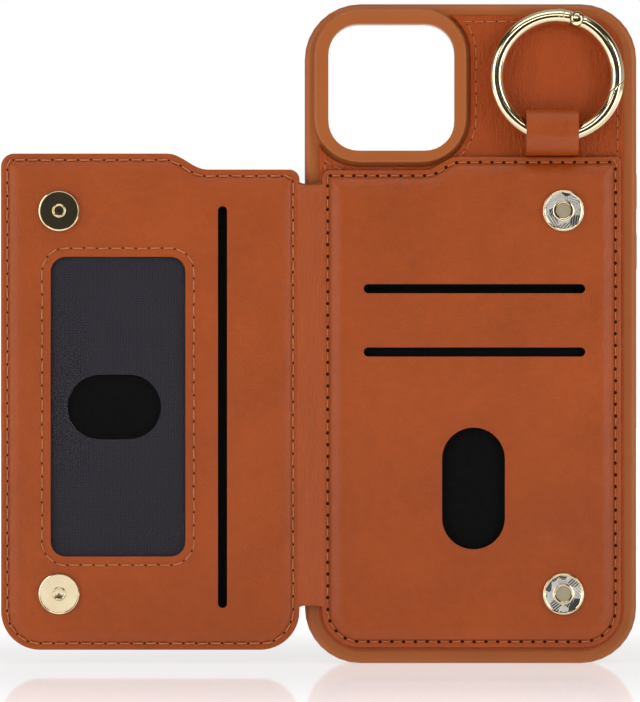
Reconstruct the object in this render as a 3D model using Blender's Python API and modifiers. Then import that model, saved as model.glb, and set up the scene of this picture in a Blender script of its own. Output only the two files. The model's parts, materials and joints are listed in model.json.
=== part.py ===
"""Phone wallet case with a fold-over card flap, a swinging spring ring and press buttons.

Blender 4.5, metres, +Z up. Run it with: blender --background --python part.py

The case stands on its bottom edge with the flap open to the left, and -Y faces the pocket side.
Places are measured from the middle of the phone shell's bottom edge, and an empty named
"footprint" then moves everything so that the origin is the centre of the whole footprint.
A "level" is a Y place: a more negative level is nearer to the pocket side.
"""
import math

import bmesh
import bpy
from mathutils import Matrix, Vector

MM = 0.001
GAP = 0.25 * MM                     # clearance that separate pieces keep
ARC_STEPS = 8                       # straight steps in a quarter circle

# Phone shell
SHELL_WIDTH = 83.3 * MM
SHELL_HEIGHT = 165.5 * MM
SHELL_CORNER = 14.0 * MM
SHELL_FRONT = 5.2 * MM              # level of the lip round the phone's screen
SHELL_BACK = -5.6 * MM
SHELL_EDGE_ROUND = 1.5 * MM
SIDE_WALL = 2.6 * MM
END_WALL = 2.35 * MM
CAVITY_DEPTH = 4.0 * MM             # the phone space runs from -4 to +4
CAVITY_CORNER = 11.4 * MM
CAVITY_FOOT_ROUND = 1.6 * MM
LIP_OVERHANG = 1.1 * MM

# Camera surround, moulded in one with the shell
CAMERA_LEFT = -39.3 * MM
CAMERA_RIGHT = -1.0 * MM
CAMERA_LOW = 125.4 * MM
CAMERA_HIGH = 164.1 * MM
CAMERA_CORNER = 11.5 * MM
CAMERA_WINDOW = (-35.7 * MM, -4.1 * MM, 128.5 * MM, 160.2 * MM)
CAMERA_WINDOW_CORNER = 7.5 * MM
CAMERA_FRONT = -8.4 * MM
CAMERA_CLEARANCE = 0.7 * MM

# Openings and buttons in the shell's walls
CHARGE_PORT = (13.5 * MM, 6.5 * MM)
SPEAKER_SLOT = (12.0 * MM, 2.4 * MM)
SPEAKER_PLACE = 18.5 * MM
MUTE_HEIGHT = 131.0 * MM
MUTE_SLOT = (9.0 * MM, 5.0 * MM)
BUTTONS = {                         # side, height above the bottom, length
    "volume_up_button": (1, 118.5 * MM, 9.6 * MM),
    "volume_down_button": (1, 103.5 * MM, 9.6 * MM),
    "side_button": (-1, 110.0 * MM, 16.5 * MM),
}
BUTTON_WIDTH = 3.0 * MM
BUTTON_PROUD = 0.35 * MM
BUTTON_FLANGE = 1.0 * MM            # how far the flange reaches past the stem
BUTTON_FLANGE_THICK = 0.6 * MM
BUTTON_RECESS = 1.55 * MM           # depth of the recess inside the wall

# Leather back
LEATHER = 0.8 * MM
BACK_LEFT = -38.1 * MM
BACK_RIGHT = 38.3 * MM
BACK_LOW = 3.4 * MM
BACK_HIGH = 162.5 * MM
BACK_CORNER = 10.5 * MM
BACK_LEVEL = SHELL_BACK - GAP       # its shell side; it is one leather thick

# Card pocket
POCKET_LEFT = -37.3 * MM
POCKET_RIGHT = 37.5 * MM
POCKET_LOW = 4.3 * MM
POCKET_HIGH = 127.0 * MM
POCKET_STEP_HIGH = 123.65 * MM
POCKET_STEP = (-11.8 * MM, -3.3 * MM)
POCKET_CORNER = 9.5 * MM
BACKING = 0.4 * MM
BACKING_LEVEL = BACK_LEVEL - LEATHER - GAP
BORDER_LEVEL = BACKING_LEVEL - BACKING - GAP
BORDER_FACE = BORDER_LEVEL - LEATHER
POCKET_RAISE = 1.8 * MM
POCKET_BORDER = 3.0 * MM            # width of the flat stitched border
RAISED_EDGE_ROUND = 1.0 * MM
DIVIDER = 0.2 * MM
CARD_SLOTS = (-26.9 * MM, 28.4 * MM)
CARD_SLOT_LOWS = (77.0 * MM, 92.8 * MM)
CARD_SLOT_WIDTH = 2.3 * MM
THUMB_PLACE = (0.5 * MM, 44.1 * MM)
THUMB_SIZE = (15.7 * MM, 30.4 * MM)
POCKET_THREAD_INSET = 1.45 * MM

# Spine and its two fold lines
SPINE_FOLD = -37.35 * MM
FLAP_FOLD = -42.65 * MM
SPINE_LOW = 14.7 * MM
SPINE_HIGH = 120.0 * MM

# Flap
FLAP_OUTER = -117.6 * MM
FLAP_INNER = FLAP_FOLD - GAP
FLAP_LOW = 3.65 * MM
FLAP_HIGH = 127.8 * MM
FLAP_STEP_HIGH = 123.8 * MM
FLAP_STEP = (-76.0 * MM, -66.0 * MM)
FLAP_TOP_CORNER = 3.3 * MM
FLAP_BOTTOM_CORNER = 9.8 * MM
FLAP_RAISE = 1.0 * MM
FLAP_INNER_LEATHER = 0.6 * MM       # the raised face is skived thinner than the border
FLAP_BORDER = 3.2 * MM
FLAP_THREAD_INSET = 1.65 * MM
FLAP_BACK = -5.15 * MM              # outside face of the open flap
BOARD = 0.8 * MM
FILM = 0.2 * MM
LINING = 0.2 * MM
WINDOW = (-105.1 * MM, -71.4 * MM, 27.05 * MM, 101.95 * MM)
WINDOW_CORNER = 3.8 * MM
WINDOW_THREAD_INSET = -2.1 * MM
FILM_THUMB_PLACE = (-89.2 * MM, 64.4 * MM)
FILM_THUMB_SIZE = (23.4 * MM, 16.2 * MM)
FLAP_SLOT = (-63.3 * MM, -61.0 * MM, 14.2 * MM, 114.6 * MM)
THREAD_WIDTH = 0.6 * MM
THREAD_THICK = 0.2 * MM

# Magnetic snaps
SNAP_RADIUS = 5.25 * MM
SNAP_PROUD = 1.1 * MM
SNAP_HUB = 3.75 * MM
SNAP_HUB_WALL = 0.4 * MM
SNAP_FACE = 0.35 * MM
SNAP_HOLE = 1.9 * MM
SNAP_POST = 1.6 * MM
SNAP_WASHER = 5.6 * MM
SNAP_HEIGHTS = {"upper": 113.4 * MM, "lower": 17.8 * MM}
POCKET_SNAP_X = 22.9 * MM
FLAP_SNAP_X = -102.9 * MM
SNAP_STEPS = 16

# Key ring and its tab
RING_X = 21.3 * MM
RING_WIRE = 1.8 * MM
RING_RADIUS = 15.075 * MM           # to the middle of the wire
RING_PIVOT_HEIGHT = 132.65 * MM
RING_PIVOT_RISE = 0.81 * MM         # pivot above the wire's middle at the ring's lowest point
COLLAR_ANGLE = 2.6
COLLAR_RADIUS = 2.35 * MM
COLLAR_LENGTH = 2.4 * MM
PIN_ANGLE = 19.0                    # degrees clockwise from the ring's top
PIN_RADIUS = 0.5 * MM
PIN_REACH = 2.0 * MM
KNUCKLE_GAP_ANGLE = 8.0             # from the pin to the full wire on each side
KNUCKLE_RADIUS = 1.6 * MM
KNUCKLE_ROOT_ANGLE = 1.8            # how far the fork and tongue reach into the full wire
KNUCKLE_SLOT = 0.75 * MM
TONGUE_HALF = 0.5 * MM
LATCH_ANGLE = 100.3
LATCH_HALF_GAP = 0.15 * MM
LATCH_SLANT = 48.0                  # lean of the latch face, so that the gate's end swings clear inwards
LATCH_OVERRUN = 10.0                # how far past the latch each wire runs before it is cut
SPRING_LENGTH = 3.4 * MM
SPRING_RADIUS = 0.6 * MM
SPRING_WIRE = 0.15 * MM
SPRING_TURNS = 5
TAB_LEFT = 13.5 * MM
TAB_RIGHT = 26.5 * MM
TAB_CAVITY = 3.1 * MM
TAB_STRETCH = 2.1 * MM
TAB_FLARE = 0.55 * MM               # widening of the loop's left mouth, where the wire curves away
TAB_FLARE_DEPTH = 0.95 * MM
TAB_LOW = POCKET_HIGH + GAP

# Levels and angles that follow from the sizes above
RAISED_LEVEL = BORDER_FACE - POCKET_RAISE + LEATHER
POCKET_FACE = BORDER_FACE - POCKET_RAISE
FLAP_FACE = BORDER_FACE - FLAP_RAISE
TAB_BACK = BACK_LEVEL - LEATHER - GAP
RING_PIVOT_LEVEL = TAB_BACK - LEATHER - TAB_CAVITY
RING_REACH = 2 * RING_RADIUS - RING_PIVOT_RISE
RING_LEAN = math.asin((TAB_BACK - COLLAR_RADIUS - RING_PIVOT_LEVEL) / RING_REACH)
FOOTPRINT_X = (FLAP_OUTER + SHELL_WIDTH / 2 + BUTTON_PROUD) / 2

# Colour, roughness and metallic value of each material
MATERIALS = {
    "tpu": ((0.42, 0.13, 0.045), 0.42, 0.0),
    "leather": ((0.37, 0.08, 0.022), 0.5, 0.0),
    "lining": ((0.012, 0.012, 0.013), 0.85, 0.0),
    "board": ((0.3, 0.27, 0.22), 0.9, 0.0),
    "film": ((0.85, 0.87, 0.92), 0.08, 0.0),
    "thread": ((0.68, 0.28, 0.13), 0.7, 0.0),
    "gold": ((0.83, 0.69, 0.42), 0.18, 1.0),
    "magnet": ((0.35, 0.35, 0.36), 0.35, 1.0),
}


# ---------------------------------------------------------------- outlines (lists of x, z points)

def rounded(corners):
    """Points round a polygon whose corners are (x, z, radius), listed anticlockwise or clockwise."""
    points = []
    for index, (x, z, radius) in enumerate(corners):
        corner = Vector((x, z))
        before = Vector(corners[index - 1][:2]) - corner
        after = Vector(corners[(index + 1) % len(corners)][:2]) - corner
        if radius <= 0:
            points.append(corner)
            continue
        before.normalize()
        after.normalize()
        half = before.angle(after) / 2
        centre = corner + (before + after).normalized() * (radius / math.sin(half))
        start = corner + before * (radius / math.tan(half)) - centre
        turn = math.pi - 2 * half
        if before.x * after.y - before.y * after.x > 0:
            turn = -turn
        steps = max(2, round(ARC_STEPS * abs(turn) / (math.pi / 2)))
        for step in range(steps + 1):
            points.append(centre + Matrix.Rotation(turn * step / steps, 2) @ start)
    return points


def rectangle(left, right, low, high, radius):
    """A rectangle with round corners."""
    return rounded([(left, low, radius), (right, low, radius), (right, high, radius), (left, high, radius)])


def stadium(x, z, width, height):
    """A slot with round ends along its longer side."""
    radius = min(width, height) / 2 * 0.9999
    return rectangle(x - width / 2, x + width / 2, z - height / 2, z + height / 2, radius)


def s_curve(start, end, steps=8):
    """Corners of a smooth step from start to end, both (x, z), level at each end."""
    points = []
    for step in range(steps + 1):
        share = step / steps
        rise = (1 - math.cos(math.pi * share)) / 2
        points.append((start[0] + (end[0] - start[0]) * share, start[1] + (end[1] - start[1]) * rise, 0))
    return points


def pocket_outline(inset=0.0):
    """The pocket's edge, moved inwards by inset."""
    left, right = POCKET_LEFT + inset, POCKET_RIGHT - inset
    low = POCKET_LOW + inset
    step_high, high = POCKET_STEP_HIGH - inset, POCKET_HIGH - inset
    corner = POCKET_CORNER - inset
    step = s_curve((POCKET_STEP[1] + inset * 0.4, high), (POCKET_STEP[0] + inset * 0.4, step_high))
    return rounded([(left, low, corner), (right, low, corner), (right, high, 1.2 * MM), *step,
                    (left, step_high, 1.2 * MM)])


def flap_outline(inset=0.0):
    """The flap's edge, moved inwards by inset."""
    left, right = FLAP_OUTER + inset, FLAP_INNER - inset
    low = FLAP_LOW + inset
    step_high, high = FLAP_STEP_HIGH - inset, FLAP_HIGH - inset
    step = s_curve((FLAP_STEP[1] - inset * 0.4, step_high), (FLAP_STEP[0] - inset * 0.4, high))
    return rounded([(left, low, FLAP_BOTTOM_CORNER - inset), (right, low, FLAP_BOTTOM_CORNER - inset),
                    (right, step_high, 1.2 * MM), *step, (left, high, max(1.2 * MM, FLAP_TOP_CORNER - inset))])


# ---------------------------------------------------------------- object helpers

def clear_scene():
    """Remove every object of the scene that is open."""
    for old in list(bpy.data.objects):
        bpy.data.objects.remove(old, do_unlink=True)


def new_collection(name):
    """A new collection in the scene."""
    collection = bpy.data.collections.new(name)
    bpy.context.scene.collection.children.link(collection)
    return collection


def make_materials():
    """One Principled material for each entry of MATERIALS."""
    made = {}
    for name, (colour, roughness, metallic) in MATERIALS.items():
        material = bpy.data.materials.new(name)
        material.use_nodes = True
        shader = material.node_tree.nodes["Principled BSDF"]
        shader.inputs["Base Color"].default_value = (*colour, 1.0)
        shader.inputs["Roughness"].default_value = roughness
        shader.inputs["Metallic"].default_value = metallic
        made[name] = material
    return made


def empty(name, place, parent=None, tilt=0.0):
    """An empty at a place in the case's frame, which carries the pieces of one body."""
    pivot = bpy.data.objects.new(name, None)
    parts.objects.link(pivot)
    pivot.matrix_basis = Matrix.Translation(place) @ Matrix.Rotation(tilt, 4, "X")
    if parent:
        attach(pivot, parent)
    return pivot


def case_matrix(thing):
    """Where an object stands in the case's frame."""
    if thing.parent is None:
        return Matrix.Identity(4)
    return case_matrix(thing.parent) @ thing.matrix_parent_inverse @ thing.matrix_basis


def attach(thing, parent):
    """Parent an object to an empty, which leaves it where it is."""
    thing.parent = parent
    thing.matrix_parent_inverse = case_matrix(parent).inverted()


def finish(thing, slot, parent):
    """Give a part its material, smooth shading and parent."""
    mesh = thing.data
    mesh.materials.clear()
    mesh.materials.append(materials[slot])
    mesh.shade_smooth()
    mesh.set_sharp_from_angle(angle=math.radians(30))
    attach(thing, parent)
    return thing


def as_mesh(curve_object, merge=0.005 * MM):
    """Turn a curve object into a closed mesh object with the same name and place."""
    graph = bpy.context.evaluated_depsgraph_get()
    mesh = bpy.data.meshes.new_from_object(curve_object.evaluated_get(graph))
    name, place = curve_object.name, curve_object.matrix_basis.copy()
    home = curve_object.users_collection[0]
    bpy.data.objects.remove(curve_object, do_unlink=True)
    shape = bmesh.new()
    shape.from_mesh(mesh)
    bmesh.ops.remove_doubles(shape, verts=shape.verts, dist=merge)
    bmesh.ops.dissolve_limit(shape, angle_limit=math.radians(0.5), verts=shape.verts, edges=shape.edges)
    shape.to_mesh(mesh)
    shape.free()
    mesh.name = name
    made = bpy.data.objects.new(name, mesh)
    home.objects.link(made)
    made.matrix_basis = place
    return made


def slab(name, outlines, front, back, home=None, side="pocket"):
    """A flat piece between two levels, from an outline and the outlines of its holes.

    side names the way it faces: "pocket" lies across Y, "wall" across X and "foot" across Z.
    """
    curve = bpy.data.curves.new(name, "CURVE")
    curve.dimensions = "2D"
    curve.fill_mode = "BOTH"
    curve.extrude = abs(back - front) / 2
    for outline in outlines:
        spline = curve.splines.new("POLY")
        spline.points.add(len(outline) - 1)
        for point, (x, z) in zip(spline.points, outline):
            point.co = (x, z, 0, 1)
        spline.use_cyclic_u = True
    thing = bpy.data.objects.new(name, curve)
    (home or parts).objects.link(thing)
    middle = (front + back) / 2
    stands = Matrix.Rotation(math.pi / 2, 4, "X")
    if side == "pocket":
        thing.matrix_basis = Matrix.Translation((0, middle, 0)) @ stands
    elif side == "wall":
        thing.matrix_basis = Matrix.Translation((middle, 0, 0)) @ Matrix.Rotation(math.pi / 2, 4, "Z") @ stands
    else:
        thing.matrix_basis = Matrix.Translation((0, 0, middle))
    bpy.context.view_layer.update()
    return as_mesh(thing)


def soften_rim(thing, width, segments, rims):
    """Round a slab's rims: rims holds 1 for its pocket side and -1 for its other side."""
    shape = bmesh.new()
    shape.from_mesh(thing.data)
    reach = max(vertex.co.z for vertex in shape.verts)
    edges = []
    for edge in shape.edges:
        flat = abs(edge.verts[0].co.z - edge.verts[1].co.z) < 1e-6
        on_rim = any(abs(edge.verts[0].co.z - rim * reach) < 1e-6 for rim in rims)
        if flat and on_rim and len(edge.link_faces) == 2 and edge.calc_face_angle() > 1.0:
            edges.append(edge)
    bmesh.ops.bevel(shape, geom=edges, offset=width, segments=segments, profile=0.5, affect="EDGES")
    shape.to_mesh(thing.data)
    shape.free()
    return thing


def tool(thing):
    """Mark an object as one that only cuts or joins."""
    thing.hide_render = True
    thing.display_type = "WIRE"
    return thing


def combine(thing, other, operation):
    """Cut or join a part with a tool object."""
    modifier = thing.modifiers.new(other.name, "BOOLEAN")
    modifier.operation = operation
    modifier.solver = "EXACT"
    modifier.object = tool(other)
    attach(other, footprint)
    return thing


def turned(name, profile, place, segments=SNAP_STEPS, home=None):
    """A ring turned about an axis that points at the pocket side.

    profile holds (radius, height towards the pocket side), down the outer side and up the inner one.
    """
    shape = bmesh.new()
    points = [shape.verts.new((radius, 0, height)) for radius, height in profile]
    for index, point in enumerate(points):
        shape.edges.new((points[index - 1], point))
    mesh = bpy.data.meshes.new(name)
    shape.to_mesh(mesh)
    shape.free()
    thing = bpy.data.objects.new(name, mesh)
    (home or parts).objects.link(thing)
    thing.matrix_basis = Matrix.Translation(place) @ Matrix.Rotation(math.pi / 2, 4, "X")
    screw = thing.modifiers.new("turn", "SCREW")
    screw.steps = segments
    screw.render_steps = segments
    screw.use_merge_vertices = True
    screw.merge_threshold = 0.00001
    return thing


def wire(name, points, radius, sides, home=None):
    """A round wire through a list of points, with closed ends, as a mesh."""
    curve = bpy.data.curves.new(name, "CURVE")
    curve.dimensions = "3D"
    curve.bevel_depth = radius
    curve.bevel_resolution = (sides - 4) // 2
    curve.use_fill_caps = True
    spline = curve.splines.new("POLY")
    spline.points.add(len(points) - 1)
    for point, place in zip(spline.points, points):
        point.co = (*place, 1)
    thing = bpy.data.objects.new(name, curve)
    (home or parts).objects.link(thing)
    bpy.context.view_layer.update()
    return as_mesh(thing)


# ---------------------------------------------------------------- phone shell and buttons

def make_shell():
    """The moulded shell with its camera surround, cavity, ports and button holes."""
    half = SHELL_WIDTH / 2
    shell = slab("shell", [rectangle(-half, half, 0, SHELL_HEIGHT, SHELL_CORNER)], SHELL_BACK, SHELL_FRONT)
    soften_rim(shell, SHELL_EDGE_ROUND, 3, (1, -1))
    surround = slab("camera_surround", [rectangle(CAMERA_LEFT, CAMERA_RIGHT, CAMERA_LOW, CAMERA_HIGH,
                                                  CAMERA_CORNER)], CAMERA_FRONT, SHELL_BACK + MM, tools)
    combine(shell, soften_rim(surround, 0.8 * MM, 2, (1,)), "UNION")
    cavity = slab("cavity", [rectangle(SIDE_WALL - half, half - SIDE_WALL, END_WALL, SHELL_HEIGHT - END_WALL,
                                       CAVITY_CORNER)], -CAVITY_DEPTH, CAVITY_DEPTH, tools)
    combine(shell, soften_rim(cavity, CAVITY_FOOT_ROUND, 2, (1,)), "DIFFERENCE")
    side, end = half - SIDE_WALL - LIP_OVERHANG, END_WALL + LIP_OVERHANG
    opening = slab("screen_opening", [rectangle(-side, side, end, SHELL_HEIGHT - end,
                                                CAVITY_CORNER - LIP_OVERHANG)], MM, SHELL_FRONT + MM, tools)
    combine(shell, opening, "DIFFERENCE")
    window = slab("camera_window", [rectangle(*CAMERA_WINDOW, CAMERA_WINDOW_CORNER)],
                  CAMERA_FRONT - MM, -CAVITY_DEPTH + MM, tools)
    combine(shell, window, "DIFFERENCE")
    foot = [("charge_port", 0, CHARGE_PORT), ("speaker_left", -SPEAKER_PLACE, SPEAKER_SLOT),
            ("speaker_right", SPEAKER_PLACE, SPEAKER_SLOT)]
    for name, x, (width, height) in foot:
        combine(shell, slab(name, [stadium(x, 0, width, height)], -MM, END_WALL + MM, tools, "foot"),
                "DIFFERENCE")
    length, width = MUTE_SLOT
    combine(shell, slab("mute_slot", [stadium(0, MUTE_HEIGHT, width, length)], half - SIDE_WALL - MM,
                        half + MM, tools, "wall"), "DIFFERENCE")
    for name, (way, height, length) in BUTTONS.items():
        grow = 2 * GAP
        hole = [stadium(0, height, BUTTON_WIDTH + grow, length + grow)]
        combine(shell, slab(name + "_hole", hole, way * (half - SIDE_WALL), way * (half + MM), tools, "wall"),
                "DIFFERENCE")
        grow += 2 * BUTTON_FLANGE
        recess = [stadium(0, height, BUTTON_WIDTH + grow, length + grow)]
        inside = half - SIDE_WALL
        combine(shell, slab(name + "_recess", recess, way * (inside - MM), way * (inside + BUTTON_RECESS),
                            tools, "wall"), "DIFFERENCE")
    finish(shell, "tpu", footprint)


def make_buttons():
    """The press buttons, each a stem through the wall on a wider flange inside it."""
    half = SHELL_WIDTH / 2
    for name, (way, height, length) in BUTTONS.items():
        flange_out = half - SIDE_WALL + BUTTON_RECESS - GAP
        stem = slab(name, [stadium(0, height, BUTTON_WIDTH, length)],
                    way * (flange_out - BUTTON_FLANGE_THICK / 2), way * (half + BUTTON_PROUD), None, "wall")
        outline = [stadium(0, height, BUTTON_WIDTH + 2 * BUTTON_FLANGE, length + 2 * BUTTON_FLANGE)]
        flange = slab(name + "_flange", outline, way * (flange_out - BUTTON_FLANGE_THICK), way * flange_out,
                      tools, "wall")
        combine(stem, flange, "UNION")
        finish(stem, "tpu", footprint)


# ---------------------------------------------------------------- leather on the case

def make_back_leather():
    """The leather skin on the shell's back, cut clear of the camera surround."""
    back = slab("back_leather", [rectangle(BACK_LEFT, BACK_RIGHT, BACK_LOW, BACK_HIGH, BACK_CORNER)],
                BACK_LEVEL, BACK_LEVEL - LEATHER)
    clear = CAMERA_CLEARANCE
    notch = slab("camera_notch", [rectangle(CAMERA_LEFT - clear, CAMERA_RIGHT + clear, CAMERA_LOW - clear,
                                            CAMERA_HIGH + clear, CAMERA_CORNER + clear)],
                 BACK_LEVEL + MM, BACK_LEVEL - LEATHER - MM, tools)
    combine(back, notch, "DIFFERENCE")
    finish(back, "leather", footprint)


def card_slot(low):
    """Outline of one of the pocket's level slots."""
    left, right = CARD_SLOTS
    return stadium((left + right) / 2, low + CARD_SLOT_WIDTH / 2, right - left, CARD_SLOT_WIDTH)


def snap_seats(x):
    """Outlines of the holes that two snaps' hubs pass through."""
    size = 2 * (SNAP_HUB + GAP)
    return [stadium(x, height, size, size * 1.0001) for height in SNAP_HEIGHTS.values()]


def raised_panel(name, outline_of, border, face, leather, cut_outlines):
    """Leather with a flat stitched border and a raised hollow middle, and holes through the middle."""
    panel = slab(name, [outline_of(0)], BORDER_LEVEL, BORDER_FACE)
    raised = slab(name + "_rise", [outline_of(border)], face, BORDER_LEVEL - LEATHER / 2, tools)
    combine(panel, soften_rim(raised, RAISED_EDGE_ROUND * 0.9, 3, (1,)), "UNION")
    hollow = slab(name + "_hollow", [outline_of(border + LEATHER)], face + leather, BORDER_LEVEL + MM, tools)
    combine(panel, hollow, "DIFFERENCE")
    for index, outline in enumerate(cut_outlines):
        cutter = slab(f"{name}_cut_{index}", [outline], face - MM, face + leather + MM, tools)
        combine(panel, cutter, "DIFFERENCE")
    return finish(panel, "leather", footprint)


def thread_line(name, outer, inner, level, parent):
    """A thin closed band in front of a leather face, which stands for one line of stitches."""
    finish(slab(name, [outer, inner], level - GAP, level - GAP - THREAD_THICK), "thread", parent)


def make_pocket():
    """The card pocket: backing, divider, raised front and its stitch line."""
    backing = slab("pocket_backing", [pocket_outline(0.8 * MM)], BACKING_LEVEL, BACKING_LEVEL - BACKING)
    finish(backing, "lining", footprint)
    middle = (BORDER_LEVEL + RAISED_LEVEL) / 2
    inner = 7 * MM
    divider = slab("pocket_divider", [rectangle(POCKET_LEFT + inner, POCKET_RIGHT - inner, POCKET_LOW + inner,
                                                CARD_SLOT_LOWS[1] - MM, 2 * MM)],
                   middle - DIVIDER / 2, middle + DIVIDER / 2)
    finish(divider, "lining", footprint)
    thumb = stadium(*THUMB_PLACE, *THUMB_SIZE)
    raised_panel("pocket_front", pocket_outline, POCKET_BORDER, POCKET_FACE, LEATHER,
                 [*map(card_slot, CARD_SLOT_LOWS), thumb, *snap_seats(POCKET_SNAP_X)])
    inset = POCKET_THREAD_INSET - THREAD_WIDTH / 2
    thread_line("pocket_thread", pocket_outline(inset), pocket_outline(inset + THREAD_WIDTH), BORDER_FACE,
                footprint)


def make_ring_tab():
    """The folded leather tab: a tall loop round the ring's wire on a flat tail."""
    outer = TAB_CAVITY + LEATHER
    low_centre = Vector((RING_PIVOT_LEVEL, RING_PIVOT_HEIGHT))
    high_centre = low_centre + Vector((0, TAB_STRETCH))
    steps = 2 * ARC_STEPS

    def arc(centre, radius, start, end):
        count = max(2, round(steps * abs(end - start) / math.pi))
        angles = [start + (end - start) * step / count for step in range(count + 1)]
        return [centre + radius * Vector((math.cos(angle), math.sin(angle))) for angle in angles]

    tail_front = TAB_BACK - 2 * LEATHER
    outline = [Vector((tail_front, TAB_LOW)), Vector((TAB_BACK, TAB_LOW))]
    outline += arc(high_centre, outer, 0, math.pi)
    outline += arc(low_centre, outer, math.pi, 1.5 * math.pi)
    outline.append(Vector((tail_front, RING_PIVOT_HEIGHT - outer)))
    cavity = arc(high_centre, TAB_CAVITY, 0, math.pi) + arc(low_centre, TAB_CAVITY, math.pi, 2 * math.pi)
    tab = slab("ring_tab", [outline, cavity], TAB_LEFT, TAB_RIGHT, None, "wall")
    lead = 0.05 * MM
    profile = [(TAB_CAVITY - lead, TAB_FLARE_DEPTH), (TAB_CAVITY + TAB_FLARE, -lead),
               (TAB_CAVITY - MM, -lead), (TAB_CAVITY - MM, TAB_FLARE_DEPTH)]
    flare = turned("mouth_flare", profile, (0, 0, 0), 32, tools)
    place = (TAB_LEFT, RING_PIVOT_LEVEL, RING_PIVOT_HEIGHT)
    flare.matrix_basis = Matrix.Translation(place) @ Matrix.Rotation(math.pi / 2, 4, "Y")
    finish(combine(tab, flare, "DIFFERENCE"), "leather", footprint)


# ---------------------------------------------------------------- spine and flap

def make_spine():
    """The two leather strips between the fold lines, inner side first."""
    left, right = FLAP_FOLD + GAP, SPINE_FOLD - GAP
    inner = slab("spine_inner_leather", [rectangle(left, right, SPINE_LOW, SPINE_HIGH, 0.6 * MM)],
                 BORDER_LEVEL, BORDER_FACE)
    finish(inner, "leather", spine_hinge)
    outer_level = BORDER_LEVEL + GAP
    outer = slab("spine_outer_leather", [rectangle(left, BACK_LEFT - GAP, SPINE_LOW, SPINE_HIGH, 0.6 * MM)],
                 outer_level, outer_level + LEATHER)
    finish(outer, "leather", spine_hinge)


def make_flap():
    """The flap's leathers, board, lining, window film and stitch lines."""
    window = rectangle(*WINDOW, WINDOW_CORNER)
    slot_left, slot_right, slot_low, slot_high = FLAP_SLOT
    slot = stadium((slot_left + slot_right) / 2, (slot_low + slot_high) / 2, slot_right - slot_left,
                   slot_high - slot_low)
    inner = raised_panel("flap_inner_leather", flap_outline, FLAP_BORDER, FLAP_FACE, FLAP_INNER_LEATHER,
                         [window, slot, *snap_seats(FLAP_SNAP_X)])
    attach(inner, flap_hinge)
    outer = slab("flap_outer_leather", [flap_outline()], FLAP_BACK, FLAP_BACK - LEATHER)
    finish(soften_rim(outer, 0.35 * MM, 2, (-1,)), "leather", flap_hinge)
    board_level = FLAP_BACK - LEATHER - GAP
    finish(slab("flap_board", [flap_outline(0.4 * MM)], board_level, board_level - BOARD), "board", flap_hinge)
    lining_level = board_level - BOARD - GAP
    finish(slab("flap_lining", [flap_outline(FLAP_BORDER + 2 * LEATHER)], lining_level, lining_level - LINING),
           "lining", flap_hinge)
    left, right, low, high = WINDOW
    reach = 3.5 * MM
    film_level = FLAP_FACE + FLAP_INNER_LEATHER + GAP
    film = slab("id_window", [rectangle(left - reach, right + reach, low - reach, high + reach, 2 * MM),
                              stadium(*FILM_THUMB_PLACE, *FILM_THUMB_SIZE)], film_level, film_level + FILM)
    finish(film, "film", flap_hinge)
    inset = FLAP_THREAD_INSET - THREAD_WIDTH / 2
    thread_line("flap_thread", flap_outline(inset), flap_outline(inset + THREAD_WIDTH), BORDER_FACE, flap_hinge)
    bands = []
    for inset in (WINDOW_THREAD_INSET - THREAD_WIDTH / 2, WINDOW_THREAD_INSET + THREAD_WIDTH / 2):
        bands.append(rectangle(left + inset, right - inset, low + inset, high - inset, WINDOW_CORNER - inset))
    thread_line("window_thread", *bands, FLAP_FACE, flap_hinge)


# ---------------------------------------------------------------- snaps

def make_snap(name, x, height, face, leather, parent, has_hole):
    """One half of a magnetic snap: cap, magnet, rivet and washer, on a leather face."""
    place = Vector((x, face, height))
    top = SNAP_PROUD
    under = top - SNAP_FACE
    hub_end = -(leather + GAP)
    bore = SNAP_HOLE if has_hole else SNAP_POST + GAP
    hub_bore = SNAP_HUB - SNAP_HUB_WALL
    cap = [(SNAP_RADIUS - 0.3 * MM, top), (SNAP_RADIUS, top - 0.3 * MM), (SNAP_RADIUS, GAP), (SNAP_HUB, GAP),
           (SNAP_HUB, hub_end), (hub_bore, hub_end), (hub_bore, under), (bore, under), (bore, top)]
    finish(turned(name + "_cap", cap, place), "gold", parent)
    magnet_top, magnet_end = under - GAP, hub_end + 0.3 * MM
    outer, inner = hub_bore - GAP, 1.3 * MM
    magnet = [(outer, magnet_top), (outer, magnet_end), (inner, magnet_end), (inner, magnet_top)]
    finish(turned(name + "_magnet", magnet, place), "magnet", parent)
    tube, tube_bore = 1.0 * MM, 0.6 * MM
    flange_top, flange_end = magnet_end - GAP, magnet_end - GAP - 0.35 * MM
    rivet_top = top - 0.35 * MM if has_hole else top + 0.2 * MM
    head = tube if has_hole else SNAP_POST
    head_low = under - 0.1 * MM
    rivet = [(head, rivet_top), (head, head_low), (tube, head_low), (tube, flange_top),
             (hub_bore - GAP, flange_top),
             (hub_bore - GAP, flange_end), (tube_bore, flange_end), (tube_bore, rivet_top)]
    if has_hole:
        rivet = [rivet[0], *rivet[3:]]
    finish(turned(name + "_rivet", rivet, place), "gold", parent)
    washer_top = -(leather + GAP)
    washer_end = washer_top - 0.4 * MM
    washer = [(SNAP_WASHER, washer_top), (SNAP_WASHER, washer_end), (SNAP_HUB + GAP, washer_end),
              (SNAP_HUB + GAP, washer_top)]
    finish(turned(name + "_washer", washer, place), "magnet", parent)


def make_snaps():
    """The pocket's two snaps and the flap's two."""
    for level, height in SNAP_HEIGHTS.items():
        make_snap(f"pocket_snap_{level}", POCKET_SNAP_X, height, POCKET_FACE, LEATHER, footprint, True)
        make_snap(f"flap_snap_{level}", FLAP_SNAP_X, height, FLAP_FACE, FLAP_INNER_LEATHER, flap_hinge, False)


# ---------------------------------------------------------------- key ring

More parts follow.
